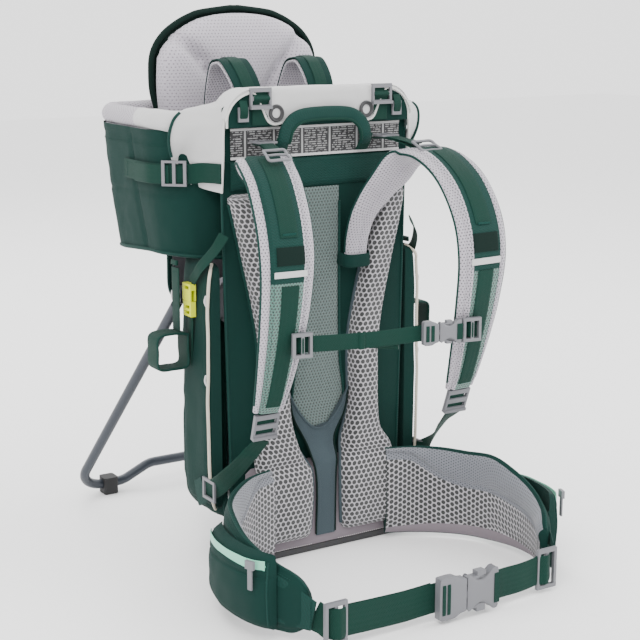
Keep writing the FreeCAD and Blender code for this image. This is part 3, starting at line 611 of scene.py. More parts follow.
def shoulderStrap(name):
    c, s = strapCut, sides[name]
    stations = strapPath(name)
    run = [0.0]
    for a, b in zip(stations, stations[1:]):
        run.append(run[-1] + (Vector(b[:3]) - Vector(a[:3])).length)
    widths = [(r / run[-1], st[3]) for r, st in zip(run, stations)]
    path = mirrored(s, [st[:3] for st in stations])
    line = frames(path, (s, 0, 0), c["rows"])
    over = max(range(len(line)), key=lambda j: line[j][0].z)

    def face(j, f):  # outer face height at a share of the half width
        ends = 1 - 0.55 * max(0.0, 1 - j / 5) - 0.45 * max(0.0, 1 - (c["rows"] - j) / 6)
        h = c["thick"] / 2 * (1 - abs(f) ** 4) ** 0.5 * ends
        raised = 1.3 if abs(f) < c["bandShare"] else 0.0
        return h + raised - dip(abs(f) - c["bandShare"] - 0.06, 0.06, 2.2) + ripple(line[j][0], 34, 0.6, s)

    strap = Piece("shoulderStrap_" + name)
    rows = []
    for j, (p, side, out) in enumerate(line):
        half = course(widths, j / c["rows"]) / 2
        out = out * s
        row = []
        for i in range(c["ring"] * 2):
            front = i < c["ring"]
            f = math.sin(math.pi * ((i + 0.5) / c["ring"] - 0.5)) if front else -math.sin(
                math.pi * ((i - c["ring"] + 0.5) / c["ring"] - 0.5))
            n = face(j, f) if front else -c["thick"] / 2 * (1 - abs(f) ** 5) ** 0.5 + dip(f, 0.08, 1.6)
            row.append(p + side * f * half + out * n)
        rows.append(row)

    def cloth(k, t):
        j = int(t * c["rows"])
        f = math.sin(math.pi * (k * 2 - 0.5)) if k < 0.5 else 2
        if abs(f) < c["bandShare"] and j > over - 22:
            return "strapNet" if j > over and line[j][0].z < c["netTop"] else "greenRib"
        return "spacerMesh"
    strap.grid(rows, cloth, True, True)

    def onFace(high, low, f=0.0, lift=0.6):  # points down the outer face
        made = []
        for j, (p, side, out) in enumerate(line):
            if j > over and low <= p.z <= high:
                half = course(widths, j / c["rows"]) / 2
                made.append(p + side * f * half + out * s * (face(j, f) + lift))
        return made
    top = onFace(527, c["webEnd"])
    strap.band(top, c["webWidth"], 1.8, "greenWeb", (s, 0, 0), 50)
    strap.band(onFace(c["patch"][0], c["patch"][1]), 38, 1.4, "deepCloth", (s, 0, 0), 10)
    strap.band(onFace(c["shine"][0], c["shine"][1]), 45, 1.6, "paleCloth", (s, 0, 0), 6)
    strap.band(onFace(c["netTop"] - 2, 239), lambda t: 24 - 4 * t, 1.8, "greenWeb", (s, 0, 0), 50)
    bar = onFace(c["webEnd"] + 6, c["webEnd"] + 2, 0, 1.7)
    strap.band([bar[0] - Vector((9, 0, 0)), bar[0] + Vector((9, 0, 0))], 3, 1.2, "thread", (0, 0, 1), 6)
    for f in (-c["bandShare"] + 0.05, c["bandShare"] - 0.05):
        strap.stitches(onFace(524, 240, f, 0.1), "thread", 3.4)
    for end in (-1, 1):
        edge = [p + side * end * course(widths, j / c["rows"]) / 2 * 0.99
                for j, (p, side, out) in enumerate(line)]
        strap.tube(edge[3:-3:3], 1.7, "greenRib", 6, count=110)
    x, z, low = s * stations[0][0], stations[0][2], -13
    hem = [(-21, 6, 3), (-19, low + 6, 1), (-12, low, 0), (12, low, 0), (19, low + 6, 1), (21, 6, 3)]
    welt = [(x + across, y, z + up) for across, y, up in hem]
    strap.band(welt, 17, 2.2, "greenCloth", (0, 0, 1), 40)
    made = strap.make("pack", "dark_green_fabric", "shoulder_strap_" + name)


for name in sides:
    shoulderStrap(name)
print("shoulder straps ready")

# back panel: cloth, label, net, mesh columns and lumbar cushions

panelCut = {
    "outline": [(36, 128), (470, 137), (600, 137)], "corner": 14,
    "net": [(140, 12), (180, 33), (205, 40), (260, 34), (486, 33)],
    "inner": [(22, 27), (34, 24), (112, 22), (136, 31), (190, 46), (290, 49), (400, 72), (484, 93)],
    "outer": [(22, 97), (70, 106), (112, 107), (138, 103), (158, 93), (190, 90), (290, 91), (400, 113),
              (484, 133)],
    "turn": (84, 0.36),
    "face": [(22, -28), (112, -28), (150, -17), (250, -14), (484, -13)],
    "back": [(22, -12.4), (120, -12.4), (146, 7.6), (484, 7.6)],
    "label": (-126, 126, 527, 565), "yoke": (-127, 127, 488, 525),
}


def backPanel():
    c = panelCut
    cloth = Piece("backCloth")
    low, high = c["outline"][0][0], c["outline"][-1][0]

    def half(z):
        return course(c["outline"], z) - nip(min(z - low, high - z), c["corner"])

    def front(s, t):
        z = high + (low - high) * t
        x = half(z) * (2 * s - 1)
        return x, 9.0 + ripple((x, 0, z), 60, 0.8), z

    cloth.skin(front, flattened(front, 11.4), 36, 60, "greenCloth")
    for s in (-1, 1):
        cloth.tube([(s * half(z), 9.6, z) for z in range(46, 560, 30)], 2.0, "greenRib", 8)
    cloth.make("pack", "dark_green_fabric", "back_cloth")

    label = Piece("labelPanel")
    x0, x1, z0, z1 = c["label"]

    def sheet(s, t):
        x, z = x0 + (x1 - x0) * s, z1 + (z0 - z1) * t
        return x, 6.4 + ripple((x, 3, z), 40, 0.5), z
    label.skin(sheet, flattened(sheet, 7.9), 40, 10, "carePanel")
    for z in (z0 + 1.5, z1 - 1):
        label.band([(x0, 6.0, z), (0, 5.8, z), (x1, 6.0, z)], 3.2, 1.0, "paleCloth", (0, 0, 1), 30)
    label.make("pack", "panel_sheet", "label_panel")

    yoke = Piece("yokeBand")
    x0, x1, z0, z1 = c["yoke"]

    def padding(s, t):
        y = 7.9 - 2.8 * crown(t, 6) + ripple((s * 240, 0, t * 40), 30, 0.5)
        return x0 + (x1 - x0) * s, y, z1 + (z0 - z1) * t
    yoke.skin(padding, flattened(padding, 7.9), 40, 12, "greenRib")
    yoke.stitches([(x0 + 4, 4.9, z1 - 5), (x1 - 4, 4.9, z1 - 5)])
    yoke.stitches([(x0 + 4, 4.9, z0 + 5), (x1 - 4, 4.9, z0 + 5)])
    yoke.make("pack", "dark_green_fabric", "yoke_panel")

    net = Piece("centreNet")
    low, high = c["net"][0][0], c["net"][-1][0]

    def netFront(s, t):
        z = high + (low - high) * t
        return course(c["net"], z) * (2 * s - 1), 7.2 - 2.6 * crown(s, 2) * crown(t, 6), z
    net.skin(netFront, flattened(netFront, 7.9), 16, 60, "netMesh")
    for s in (-1, 1):
        net.tube([(s * course(c["net"], z), 5.4, z) for z in range(146, 486, 20)], 1.8, "greenRib", 8)
    net.make("pack", "green_net", "centre_mesh")


def meshColumns():
    c = panelCut
    low, high = 22, 484
    for name, s in sides.items():
        column = Piece("meshColumn_" + name)

        def edges(z):
            gap = min(z - low, high - z)
            pull = nip(gap, 9)
            return course(c["inner"], z) + pull, course(c["outer"], z) - pull

        def wrap(x, z):  # how far the lumbar cushion turns towards its fin
            return max(0.0, x - c["turn"][0]) * c["turn"][1] * (1 if z < 140 else max(0, 1 - (z - 140) / 20))

        def front(a, t):
            z = high + (low - high) * t
            x0, x1 = edges(z)
            x = x0 + (x1 - x0) * a
            face, back = course(c["face"], z) - wrap(x, z), course(c["back"], z) - wrap(x, z)
            full = crown(a, 5) * crown(min(1, t * 12) / 2, 3) * crown(0.5 + max(0, t - 0.93) / 0.14, 3)
            crease = dip(z - 128, 5, 3.5)
            return s * x, back + (face - back) * full + crease + ripple((x, 0, z), 45, 1.2, s), z

        def rear(a, t):
            z = high + (low - high) * t
            x0, x1 = edges(z)
            x = x0 + (x1 - x0) * a
            return s * x, course(c["back"], z) - wrap(x, z), z
        column.skin(front, rear, 26, 130, "combMesh")
        for a in (0.0, 1.0):
            line = [front(a, t / 40) for t in range(1, 40 if a == 0 else 30)]
            edging = "slateCloth" if a == 0 else "greenRib"
            column.tube([(x, y - 1.6, z) for x, y, z in line], 2.3, edging, 8, count=90)
        made = column.make("pack", "cushion_mesh", *(("back_pads", "lumbar_cushions") if s < 0 else ()))


stemCut = {"half": [(20, 15), (100, 15), (130, 19), (150, 22), (185, 40), (220, 46)],
           "face": [(20, -14), (120, -14), (150, 1), (185, 2), (220, 2.4)], "cradle": (166, 52)}


def stemAndCore():
    c = stemCut
    stem = Piece("spineStem")

    def front(s, t):
        a = 2 * s - 1
        top = c["cradle"][0] + c["cradle"][1] * abs(a) ** 2.6
        z = top - (top - 22) * t
        half = course(c["half"], z)
        return half * a, course(c["face"], z) - 0.9 * (1 - a * a) - dip(abs(a) - 0.8, 0.1, 0.8), z

    def rear(s, t):
        x, y, z = front(s, t)
        return x, min(y + 3, 7.8), z
    stem.skin(front, rear, 14, 40, "slateCloth")
    for s in (-1, 1):
        edge = [(s * course(c["half"], z), course(c["face"], z) - 0.4, z) for z in range(24, 217, 12)]
        stem.tube(edge, 1.3, "deepCloth", 6)
    stem.tube([Vector(front(s / 20, 0)) - Vector((0, 0.4, 0.6)) for s in range(21)], 1.3, "slateCloth", 6)
    stem.make("pack", "grey_plastic", "spine_channel")
    core = Piece("lumbarCore")

    def coreFront(s, t):
        z = 124 - 121 * t
        x = 110 * (2 * s - 1)
        pull = nip(min(z - 3, 124 - z), 8)
        return x * (1 - pull / 110), 7.5 - 19.9 * crown(t, 14) * crown(s, 12) + ripple((x, 0, z), 36, 1.2), z
    core.skin(coreFront, flattened(coreFront, 7.8), 30, 20, "mauveCloth")
    for s in (-1, 1):
        core.stitches([(s * 104, -12.6, 11), (s * 20, -12.6, 11)], "paleThread")
    core.make("pack", "grey_cloth", "lumbar_core")


backPanel()
meshColumns()
stemAndCore()
print("back panel ready")

# hip belt: fins, pockets and zips

beltCut = {
    "centre": (62, -165), "radius": 146, "thick": 15,
    "lining": {"hem": [(0, -0.80), (0.25, -0.66), (0.6, -0.62), (1, -0.80)],
               "top": [(0, 0.92), (0.12, 0.84), (0.26, 0.42), (0.42, 0.26), (1, 0.30)],
               "rows": (-0.62, 0.34)},
    "plan": [(90, -22, 8, 128), (126, -34, 6, 128), (157, -56, 6, 127)],
    "angles": (34, 19, 4, -11, -26, -40),
    "pocket": {"inner": 154.6, "depth": 20, "low": 13, "high": 105, "first": -25, "last": 27, "zip": 96},
}


def beltPoint(angle, radius):
    turn = math.radians(angle)
    return beltCut["centre"][0] + radius * math.cos(turn), beltCut["centre"][1] + radius * math.sin(turn)


def hipFin(name):
    c, s = beltCut, sides[name]
    stations = list(c["plan"])
    for angle in c["angles"]:
        drop = max(0, 19 - angle)
        stations.append((*beltPoint(angle, c["radius"]), 6 + 0.12 * drop, 124 - 0.8 * drop))
    count, ring = 110, 30
    run = [0.0]
    for a, b in zip(stations, stations[1:]):
        run.append(run[-1] + math.dist(a[:2], b[:2]))
    lows = [(r / run[-1], st[2]) for r, st in zip(run, stations)]
    highs = [(r / run[-1], st[3]) for r, st in zip(run, stations)]
    line = frames([(s * x, y, 0) for x, y, low, high in stations], (0, 0, 1), count)
    fin = Piece("hipFin_" + name)
    lining = c["lining"]
    hemRow, topRow = lining["rows"]

    def zoned(f, t):  # slides the lining rows so two of them follow the seams
        hem, top = course(lining["hem"], t), course(lining["top"], t)
        stops = ((-1, -1), (hemRow, hem), (topRow, top), (1, 1))
        for (a, low), (b, high) in zip(stops, stops[1:]):
            if f <= b:
                return low + (high - low) * (f - a) / (b - a)
        return f
    rows, inner = [], []
    for j, (p, side, out) in enumerate(line):
        t = j / count
        out = -out * s  # away from the wearer
        pull = nip((1 - t) * run[-1], 26) * 0.9
        low, high = course(lows, t) + pull, course(highs, t) - pull
        row = []
        for i in range(2 * ring):
            front = i < ring
            k = (i + 0.5) / ring if front else 2 - (i + 0.5) / ring
            f = -math.cos(math.pi * k)
            f = f if front else zoned(f, t)
            n = c["thick"] / 2 * (1 - abs(f) ** 5) ** 0.5 * (1 - 0.7 * max(0, 1 - (count - j) / 4))
            z = (low + high) / 2 + f * (high - low) / 2
            if front:
                n += -0.5 - dip(abs(f) - 0.9, 0.05, 1.4) + ripple((t * 300, 0, z), 32, 0.8, s)
            else:
                hem, top = course(lining["hem"], t), course(lining["top"], t)
                plump = 2.6 * max(0, 1 - ((f - (top + 1) / 2) / ((1 - top) / 2)) ** 2)
                n = -n - 2.4 * crown((f + 1) / 2, 6) - plump - ripple((t * 300, 9, z), 40, 0.8, s)
                n += dip(f - top, 0.05, 2.6) + dip(f - hem, 0.04, 1.6)
            row.append(p + out * n + Vector((0, 0, z)))
        rows.append(row)
        inner.append((p, out, low, high))

    def cloth(k, t):
        f = -math.cos(math.pi * k * 2) if k < 0.5 else -math.cos(math.pi * (2 - k * 2))
        if k < 0.5 or abs(f) > 0.985 or t > 0.975:
            return "greenCloth"
        return "slateMesh" if f > topRow else "mauveCloth" if f < hemRow else "combMesh"
    fin.grid(rows, cloth, True, True)
    for share in (0.995, 0.005):
        edge = [p + Vector((0, 0, low + (high - low) * share)) for p, out, low, high in inner]
        fin.tube(edge[::6], 1.7, "greenRib", 8, count=80)
    fin.stitches([p + out * 6.3 + Vector((0, 0, high - 6)) for p, out, low, high in inner[:-4:6]])
    if s < 0:
        fin.make("pack", "dark_green_fabric", "hip_fins")
    else:
        fin.make("pack", "dark_green_fabric")


def hipPocket(name):
    c, s = beltCut, sides[name]
    k = c["pocket"]
    span, tall = k["last"] - k["first"], k["high"] - k["low"]
    pocket = Piece("hipPocket_" + name)

    def at(angle, radius, z):
        x, y = beltPoint(angle, radius)
        return s * x, y, z

    def outer(a, t):
        z = k["high"] - tall * t
        endPull = nip(min(t, 1 - t) * tall, 13) * 0.13
        angle = k["first"] + endPull + (span - 2 * endPull) * a
        bulge = (1 - abs(2 * a - 1) ** 5) ** 0.5 * (1 - abs(2 * t - 1) ** 4) ** 0.5
        sag = 1.3 * math.sin(math.pi * t) * bulge
        folds = ripple((angle * 2.6, 0, z), 24, 1.8, s) * bulge
        seam = dip(z - 82 + 0.1 * abs(angle), 1.6, 1.5) + dip(z - 103, 1.5, 1.0) + dip(z - 17, 2.0, 1.2)
        return at(angle, k["inner"] + (k["depth"] - 1.4) * bulge + sag + folds - seam, z)

    def behind(a, t):
        endPull = nip(min(t, 1 - t) * tall, 13) * 0.13
        return at(k["first"] + endPull + (span - 2 * endPull) * a, k["inner"], k["high"] - tall * t)
    pocket.skin(outer, behind, 56, 46, "greenCloth")
    for a in (0.04, 0.96):
        pocket.tube([outer(a, t / 12) for t in range(1, 12)], 1.4, "greenRib", 8, count=40)
    for z in (78.5, 20):
        t = (k["high"] - z) / tall
        pocket.stitches([outer(a / 20, t) for a in range(2, 19)])
    pocket.make("pack", "dark_green_fabric", *(("hip_pockets",) if s < 0 else ()))

    zipLine = Piece("hipZip_" + name)
    arc = []
    for angle in range(-22, 24, 3):
        x, y, z = outer((angle - k["first"]) / span, (k["high"] - k["zip"] + 2.5) / tall)
        out = Vector((x - s * c["centre"][0], y - c["centre"][1], 0)).normalized()
        arc.append(Vector((x, y, z)) + out * 0.7)
    zipLine.band(arc, 12, 1.3, "mintTape", (0, 0, 1), 60)
    count = 58
    for j, (p, side, out) in enumerate(frames(arc, (0, 0, 1), count)):
        out = -out * s
        shift = 1.1 if j % 2 else -1.1
        a, b = p + side * shift + out * 0.4, p + side * shift + out * 1.5
        along = out.cross(side).normalized() * 0.75
        corners = ((-1, -1), (1, -1), (1, 1), (-1, 1))
        foot = [a + along * k + side * 1.4 * m for k, m in corners]
        crest = [b + along * 0.7 * k + side * m for k, m in corners]
        zipLine.grid([foot, crest], "mintTape", True, True)
    for edge in (-5, 5):
        zipLine.stitches([Vector(p) + Vector((0, 0, edge)) for p in arc], "paleThread", 3.0, 2.0, 0.4)
    zipLine.make("pack", "mint_zip", *(("hip_zips",) if s < 0 else ()))


for name in sides:
    hipFin(name)
    hipPocket(name)
print("hip belt ready")

# cockpit: tub wall, rim roll, pale saddle and side gussets

tubCut = {
    "half": (182, 200), "front": 46, "back": (266, 270), "z": (400, 562), "corner": 60, "skin": 3.4,
    "rimPath": [(-114, 52, 573.5), (-187, 54, 573.5), (-187, 257, 573.5), (187, 257, 573.5), (187, 54, 573.5),
                (114, 52, 573.5)], "rim": 13.2, "rimBend": 52,
    "middle": 158, "seams": (0.115, 0.30, 0.5, 0.70, 0.885),
}


def tubRing(half, front, back, corner, count):
    loop = []
    centres = [(-half + corner, front + corner, 270), (-half + corner, back - corner, 180),
               (half - corner, back - corner, 90), (half - corner, front + corner, 0)]
    for x, y, start in centres:
        for k in range(9):
            a = math.radians(start - 90 * k / 8)
            loop.append((x + corner * math.cos(a), y + corner * math.sin(a), 0))
    loop.append(loop[0])
    total, run = 0.0, [0.0]
    for a, b in zip(loop, loop[1:]):
        total += math.dist(a, b)
        run.append(total)
    ring, k = [], 0
    for i in range(count):
        want = total * i / count
        while run[k + 1] < want:
            k += 1
        f = (want - run[k]) / (run[k + 1] - run[k])
        ring.append(tuple(p + (q - p) * f for p, q in zip(loop[k], loop[k + 1])))
    return ring


def tubWall():
    c = tubCut
    wall = Piece("tubWall")
    low, high = c["z"]
    count, rowsDown = 220, 40

    def ringAt(t, inset, puckered):
        z = high + (low - high) * t
        half = c["half"][1] + (c["half"][0] - c["half"][1]) * t - inset
        back = c["back"][1] + (c["back"][0] - c["back"][1]) * t - inset
        ring = tubRing(half, c["front"] + inset, back, c["corner"] - inset, count)
        row = []
        for i, (x, y, _) in enumerate(ring):
            out = Vector((x / 200, (y - c["middle"]) / 112, 0)).normalized()
            seam = min(min(abs(i / count - q), 1 - abs(i / count - q)) for q in c["seams"]) * 1000
            n = 1.6 * math.sin(math.pi * t) + ripple((x, y, z * 0.6), 46, 2.6) + ripple((x, y, z), 17, 0.8)
            n -= dip(seam, 4, 2.2) + dip(z - 478, 3, 1.4) + dip(z - 548, 2.5, 1.6)
            p = Vector((x, y, z + 5 * math.sin(i / count * 2 * math.pi * 3) * t))
            row.append(p + out * (n if puckered else n * 0.6))
        return row
    outside = [ringAt(t / rowsDown, 0.6, True) for t in range(rowsDown + 1)]
    inside = [ringAt(t / rowsDown, c["skin"] + 0.6, False) for t in range(rowsDown, -1, -1)]
    edge = rowsDown / (2 * rowsDown + 1)
    wall.grid(outside + inside, lambda s, t: "greenCloth" if t < edge else "spacerMesh", True, False)
    wall.tube([p + Vector((0, 0, -1)) for p in outside[-1][::8]], 2.6, "greenRib", 8, closed=True, count=220)

    def lifted(p, gap):  # a thread's place, just off the cloth
        return p + (p - Vector((0, c["middle"], p.z))).normalized() * gap
    for q in c["seams"]:
        i = int(q * count)
        wall.stitches([lifted(row[i], 0.6) for row in outside[2:-2:3]])
    wall.stitches([lifted(p, 0.5) for p in outside[5][::4]], pitch=3.6)
    wall.make("pack", "dark_green_fabric", "tub_shell")


def rimRoll():
    c = tubCut
    roll = Piece("rimRoll")
    path = rounded(c["rimPath"], c["rimBend"])
    count, ring = 200, 24
    rows = []
    for j, (p, side, out) in enumerate(frames(path, (0, 0, 1), count)):
        t = j / count
        ends = math.sqrt(max(0.04, 1 - (1 - min(1, min(t, 1 - t) * 26)) ** 2))
        row = []
        for i in range(ring):
            a = 2 * math.pi * i / ring
            v = side * math.sin(a) + out * math.cos(a)
            r = c["rim"] * ends + ripple(p + v * 13, 26, 1.5) - dip(math.degrees(a) - 90, 9, 1.8)
            row.append(p + v * r)
        rows.append(row)

    def cloth(k, t):
        return "paleCloth" if t < 0.15 and 0.02 < k < 0.75 else "spacerMesh"
    roll.grid(rows, cloth, True, True)
    roll.make("pack", "grey_mesh", "rim_pad")


coverCut = {
    "half": 138, "high": 614, "front": -4, "back": 38, "round": 40, "eyelet": (67, 583, 9.4),
    "head": (136, 567, 611),
    "edge": [(0, 579), (44, 578), (55, 572), (67, 569), (78, 572), (86, 588), (96, 606), (108, 612)],
}


def saddle():
    c = coverCut
    cover = Piece("frontSaddle")
    half, across = c["half"], 92

    def topAt(x):
        return c["high"] - nip(half - abs(x), c["round"])

    def section(x, inset):  # down the front, over the top edge, down behind
        h = topAt(x) - inset
        low = min(course(c["edge"], abs(x)), h - 5)
        f, b = c["front"] + inset, c["back"] - inset
        pts = rounded([(x, f, low), (x, f - 0.6, (low + h) / 2), (x, f, h), (x, b, h), (x, b, 566)], 6)
        return smooth(pts, 34)
    rows = []
    for i in range(across + 1):
        x = (half - 0.6) * math.sin(math.pi * (i / across - 0.5))
        outer = [p + Vector((0, -abs(ripple(p, 26, 1.6)) if p.y < 10 else 0, ripple(p, 24, 1.2)))
                 for p in section(x, 0.4)]
        rows.append(outer + section(x, 3.0)[::-1])
    cover.grid(rows, "paleCloth", True, True)
    for s in (-1, 1):
        x, z, r = c["eyelet"]
        turns = [k / 8 * math.pi for k in range(16)]
        ring = [(s * x + r * math.cos(a), -5.6, z + r * math.sin(a)) for a in turns]
        cover.tube(ring, 1.6, "darkPlastic", 8, closed=True, count=40)
    low = [row[0] + Vector((0, -0.4, 0.6)) for row in rows]
    cover.tube(low[::2], 1.5, "paleThread", 8, count=150)
    cover.stitches([p + Vector((0, -0.3, 4)) for p in low[16:-16:3]], "paleThread")
    cover.make("pack", "pale_cloth", "front_cover")

    head = Piece("headPanel")  # green field round the ladder locks
    wide, z0, z1 = c["head"]

    def field(s, t):
        z = z1 + (z0 - z1) * t
        x = (wide - nip(z1 - z, 38)) * (2 * s - 1)
        return x, -2.4 + ripple((x, 0, z), 32, 0.7), z
    head.skin(field, flattened(field, 1.5), 60, 20, "greenCloth")
    for s in (-1, 1):
        threaded = [(0.6, 614), (-3.6, 609), (-4.4, 606.5), (-9.2, 602), (-5.2, 597), (-3.8, 591)]
        head.band([(s * 89, y, z) for y, z in threaded], 23, 1.6, "greenWeb", (1, 0, 0), 36)
        hanging = [(-3.4, 593), (-3.6, 580), (-3.4, 569)]
        head.band([(s * 89, y, z) for y, z in hanging], 23, 1.6, "greenWeb", (1, 0, 0), 12)
        hooked = [(-4.4, 600), (-7.8, 592), (-8.4, 585), (-4.6, 574)]
        head.band([(s * 114, y, z) for y, z in hooked], 11, 1.6, "greenWeb", (1, 0, 0), 20)
        head.tube([field((1 + s * 0.995) / 2, t / 20) for t in range(21)], 1.6, "paleThread", 8, count=60)
    head.make("pack", "dark_green_fabric")


gussetCut = {  # cloth between the head panel and the cockpit's front corners
    "panelEdge": [(76, 22, 612), (108, 14, 607), (130, 7, 592), (138, 3, 565), (139, 3, 530), (139, 8, 487)],
    "rimEdge": [(146, 53, 590), (168, 47, 588), (184, 46, 576), (188, 52, 550), (177, 59, 520),
                (158, 50, 494)],
    "tuck": 19,
}


def gussets():
    c = gussetCut
    for name, s in sides.items():
        piece = Piece("sideGusset_" + name)
        a, b = smooth(c["panelEdge"], 40), smooth(c["rimEdge"], 40)

        def face(u, j, shift=0.0):
            p = a[j].lerp(b[j], u)
            hang = math.sin(math.pi * u)
            slack = hang * (5 * math.sin(math.pi * min(1, j / 34)) + ripple(p, 30, 5.0) + ripple(p, 12, 1.2))
            tuck = c["tuck"] * hang * max(0.0, min(1.0, (572 - p.z) / 40))  # room for the strap in front
            return Vector((s * p.x, p.y - slack * 0.5 + shift + tuck, p.z - slack * 0.9))
        shares = [i / 24 for i in range(25)]
        rows = [[face(u, j) for u in shares] + [face(1 - u, j, 2.2) for u in shares] for j in range(41)]
        piece.grid(rows, "paleCloth", True, True)
        seam = [face(0.0, j) + Vector((0, -1.5, 0)) for j in range(0, 41, 4)]
        piece.tube(seam, 1.6, "paleThread", 8, count=70)
        piping = [face(1.0, j) + Vector((0, -1.0, 0)) for j in range(9, 28, 3)]
        piece.tube(piping, 2.0, "greenRib", 8, count=60)
        piece.make("pack", "pale_cloth")


tubWall()
rimRoll()
saddle()
gussets()
print("cockpit ready")

# child's seat: head pad, seat pad and harness

puffCut = {"voxel": 5, "pressure": 4.0, "frames": 18}


def mapFlat(mesh):  # lays the weave on a remeshed pad from its facing side
    layer = mesh.uv_layers.new(name="cut")
    for face in mesh.polygons:
        n = face.normal
        for loop in face.loop_indices:
            x, y, z = mesh.vertices[mesh.loops[loop].vertex_index].co
            layer.data[loop].uv = (x, z) if abs(n.y) > 0.5 else (x, y) if abs(n.z) > abs(n.x) else (y, z)


def puff(piece, cap, keep):  # swell a closed pad with cloth, then hold it near its first shape
    c = puffCut
    mesh = bpy.data.meshes.new(piece.name)
    mesh.from_pydata([tuple(v) for v in piece.verts], [], piece.faces)
    made = bpy.data.objects.new(piece.name, mesh)
    bpy.context.scene.collection.objects.link(made)
    remesh = made.modifiers.new("even", "REMESH")
    remesh.mode, remesh.voxel_size, remesh.use_smooth_shade = "VOXEL", c["voxel"] * mm, True
    bpy.context.view_layer.objects.active = made
    bpy.ops.object.modifier_apply(modifier="even")
    first = [v.co.copy() for v in made.data.vertices]
    held = made.vertex_groups.new(name="seams")
    for v in made.data.vertices:
        held.add([v.index], keep(v.co / mm), "REPLACE")
    cloth = made.modifiers.new("swell", "CLOTH")
    cloth.settings.use_pressure = True
    cloth.settings.uniform_pressure_force = c["pressure"]
    cloth.settings.effector_weights.gravity = 0
    cloth.settings.vertex_group_mass = "seams"
    cloth.settings.tension_stiffness = cloth.settings.compression_stiffness = 10
    cloth.point_cache.frame_start, cloth.point_cache.frame_end = 1, c["frames"]
    for frameNow in range(1, c["frames"] + 1):
        bpy.context.scene.frame_set(frameNow)
    bpy.ops.object.modifier_apply(modifier="swell")
    bpy.context.scene.frame_set(1)
    for v, start in zip(made.data.vertices, first):
        move = v.co - start
        if move.length > cap * mm:
            v.co = start + move.normalized() * cap * mm
    fine = made.modifiers.new("fine", "SUBSURF")
    fine.levels = fine.render_levels = 1
    bpy.ops.object.modifier_apply(modifier="fine")
    mapFlat(made.data)
    made.data.polygons.foreach_set("use_smooth", [True] * len(made.data.polygons))
    for finish in piece.finishes:
        made.data.materials.append(looks[finish])
    return made


headCut = {
    "outline": [(500, 96), (540, 114), (585, 127), (628, 128), (650, 123), (670, 109), (685, 88), (695, 66),
                (701, 44), (704, 24)],
    "front": 190, "back": 221,
    "seams": [[(-16, 506), (-24, 560), (-44, 612), (-76, 652), (-98, 672)],
              [(16, 506), (24, 560), (44, 612), (76, 652), (98, 672)]],
}


def headPad():
    c = headCut
    pad = Piece("headPad")
    low, high = c["outline"][0][0], c["outline"][-1][0]
    seams = [smooth([(x, 0, z) for x, z in line], 30) for line in c["seams"]]

    def near(x, z):
        return min(math.hypot(x - p.x, z - p.z) for line in seams for p in line)

    def half(z):
        return course(c["outline"], z) - 4 - nip(min(z - low, high - z), 12)

    def front(s, t):
        z = high + (low - high) * t
        x = half(z) * (2 * s - 1)
        full = crown(s, 4) * crown(t, 6)
        curl = 16 * (abs(x) / 130) ** 2  # the sides lean in round the head
        return x, c["back"] - (c["back"] - c["front"] - 4) * full - curl * full + dip(near(x, z), 8, 19), z

    def rear(s, t):
        x, y, z = front(s, t)
        return x, c["back"] + 2 * crown(s, 4), z
    pad.skin(front, rear, 44, 40, "headMesh")
    made = puff(pad, 9, lambda p: 0.94 if p.y < 214 and near(p.x, p.z) < 6 else 0.25 if p.y > 216 else 0.02)
    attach(made, "headrest")
    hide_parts("headrest_pad")
    bind = Piece("headPadBinding")
    for line in seams:
        sewn = [front(0.5 + p.x / half(p.z) / 2, (high - p.z) / (high - low)) for p in line[2:-2:3]]
        bind.tube([(x, y - 1, z) for x, y, z in sewn], 1.1, "spacerMesh", 6, count=60)
    bind.make("headrest", "grey_mesh")


shellCut = {
    "outline": [(510, 92), (590, 124), (634, 127), (656, 122), (676, 107), (691, 85), (701, 62), (707, 38),
                (709, 18)],
    "face": 225, "rails": 50,
}


def headShell():
    c = shellCut
    shell = Piece("headShell")
    low, high = c["outline"][0][0], c["outline"][-1][0]

    def back(s, t):
        z = high + (low - high) * t
        x = (course(c["outline"], z) - nip(min(z - low, high - z), 10)) * (2 * s - 1)
        return x, c["face"] + 5.6 * crown(s, 8) * crown(t, 8) + ripple((x, 0, z), 50, 1.0), z

    def outer(s, t):
        return back(1 - s, t)
    shell.skin(outer, flattened(outer, c["face"]), 36, 36, "deepCloth")
    rim = [back(s, 0.0) for s in (0, 0.25, 0.5, 0.75, 1)]
    rim = [back(0, t / 36) for t in range(30, 0, -1)] + rim + [back(1, t / 36) for t in range(1, 31)]
    shell.tube([(x, 224, z) for x, y, z in rim], 4.2, "deepCloth", 10, count=160)
    for s in (-1, 1):
        x = s * c["rails"]
        rail = [(x, 236, z) for z in (620, 500, 376)]
        shell.band(rail, 14, 3.8, "greyPlastic", (1, 0, 0), 30, flat=12.0)
        boss = [(x, 231.5, z) for z in (620, 580, 540)]
        shell.band(boss, 14, 5.0, "greyPlastic", (1, 0, 0), 12, flat=12.0)
    shell.make("headrest", "dark_green_fabric", "headrest_shell")


seatCut = {"half": 85, "y": (67, 233), "low": 323.8, "thick": 17, "nose": (24, 68, 92, 398)}


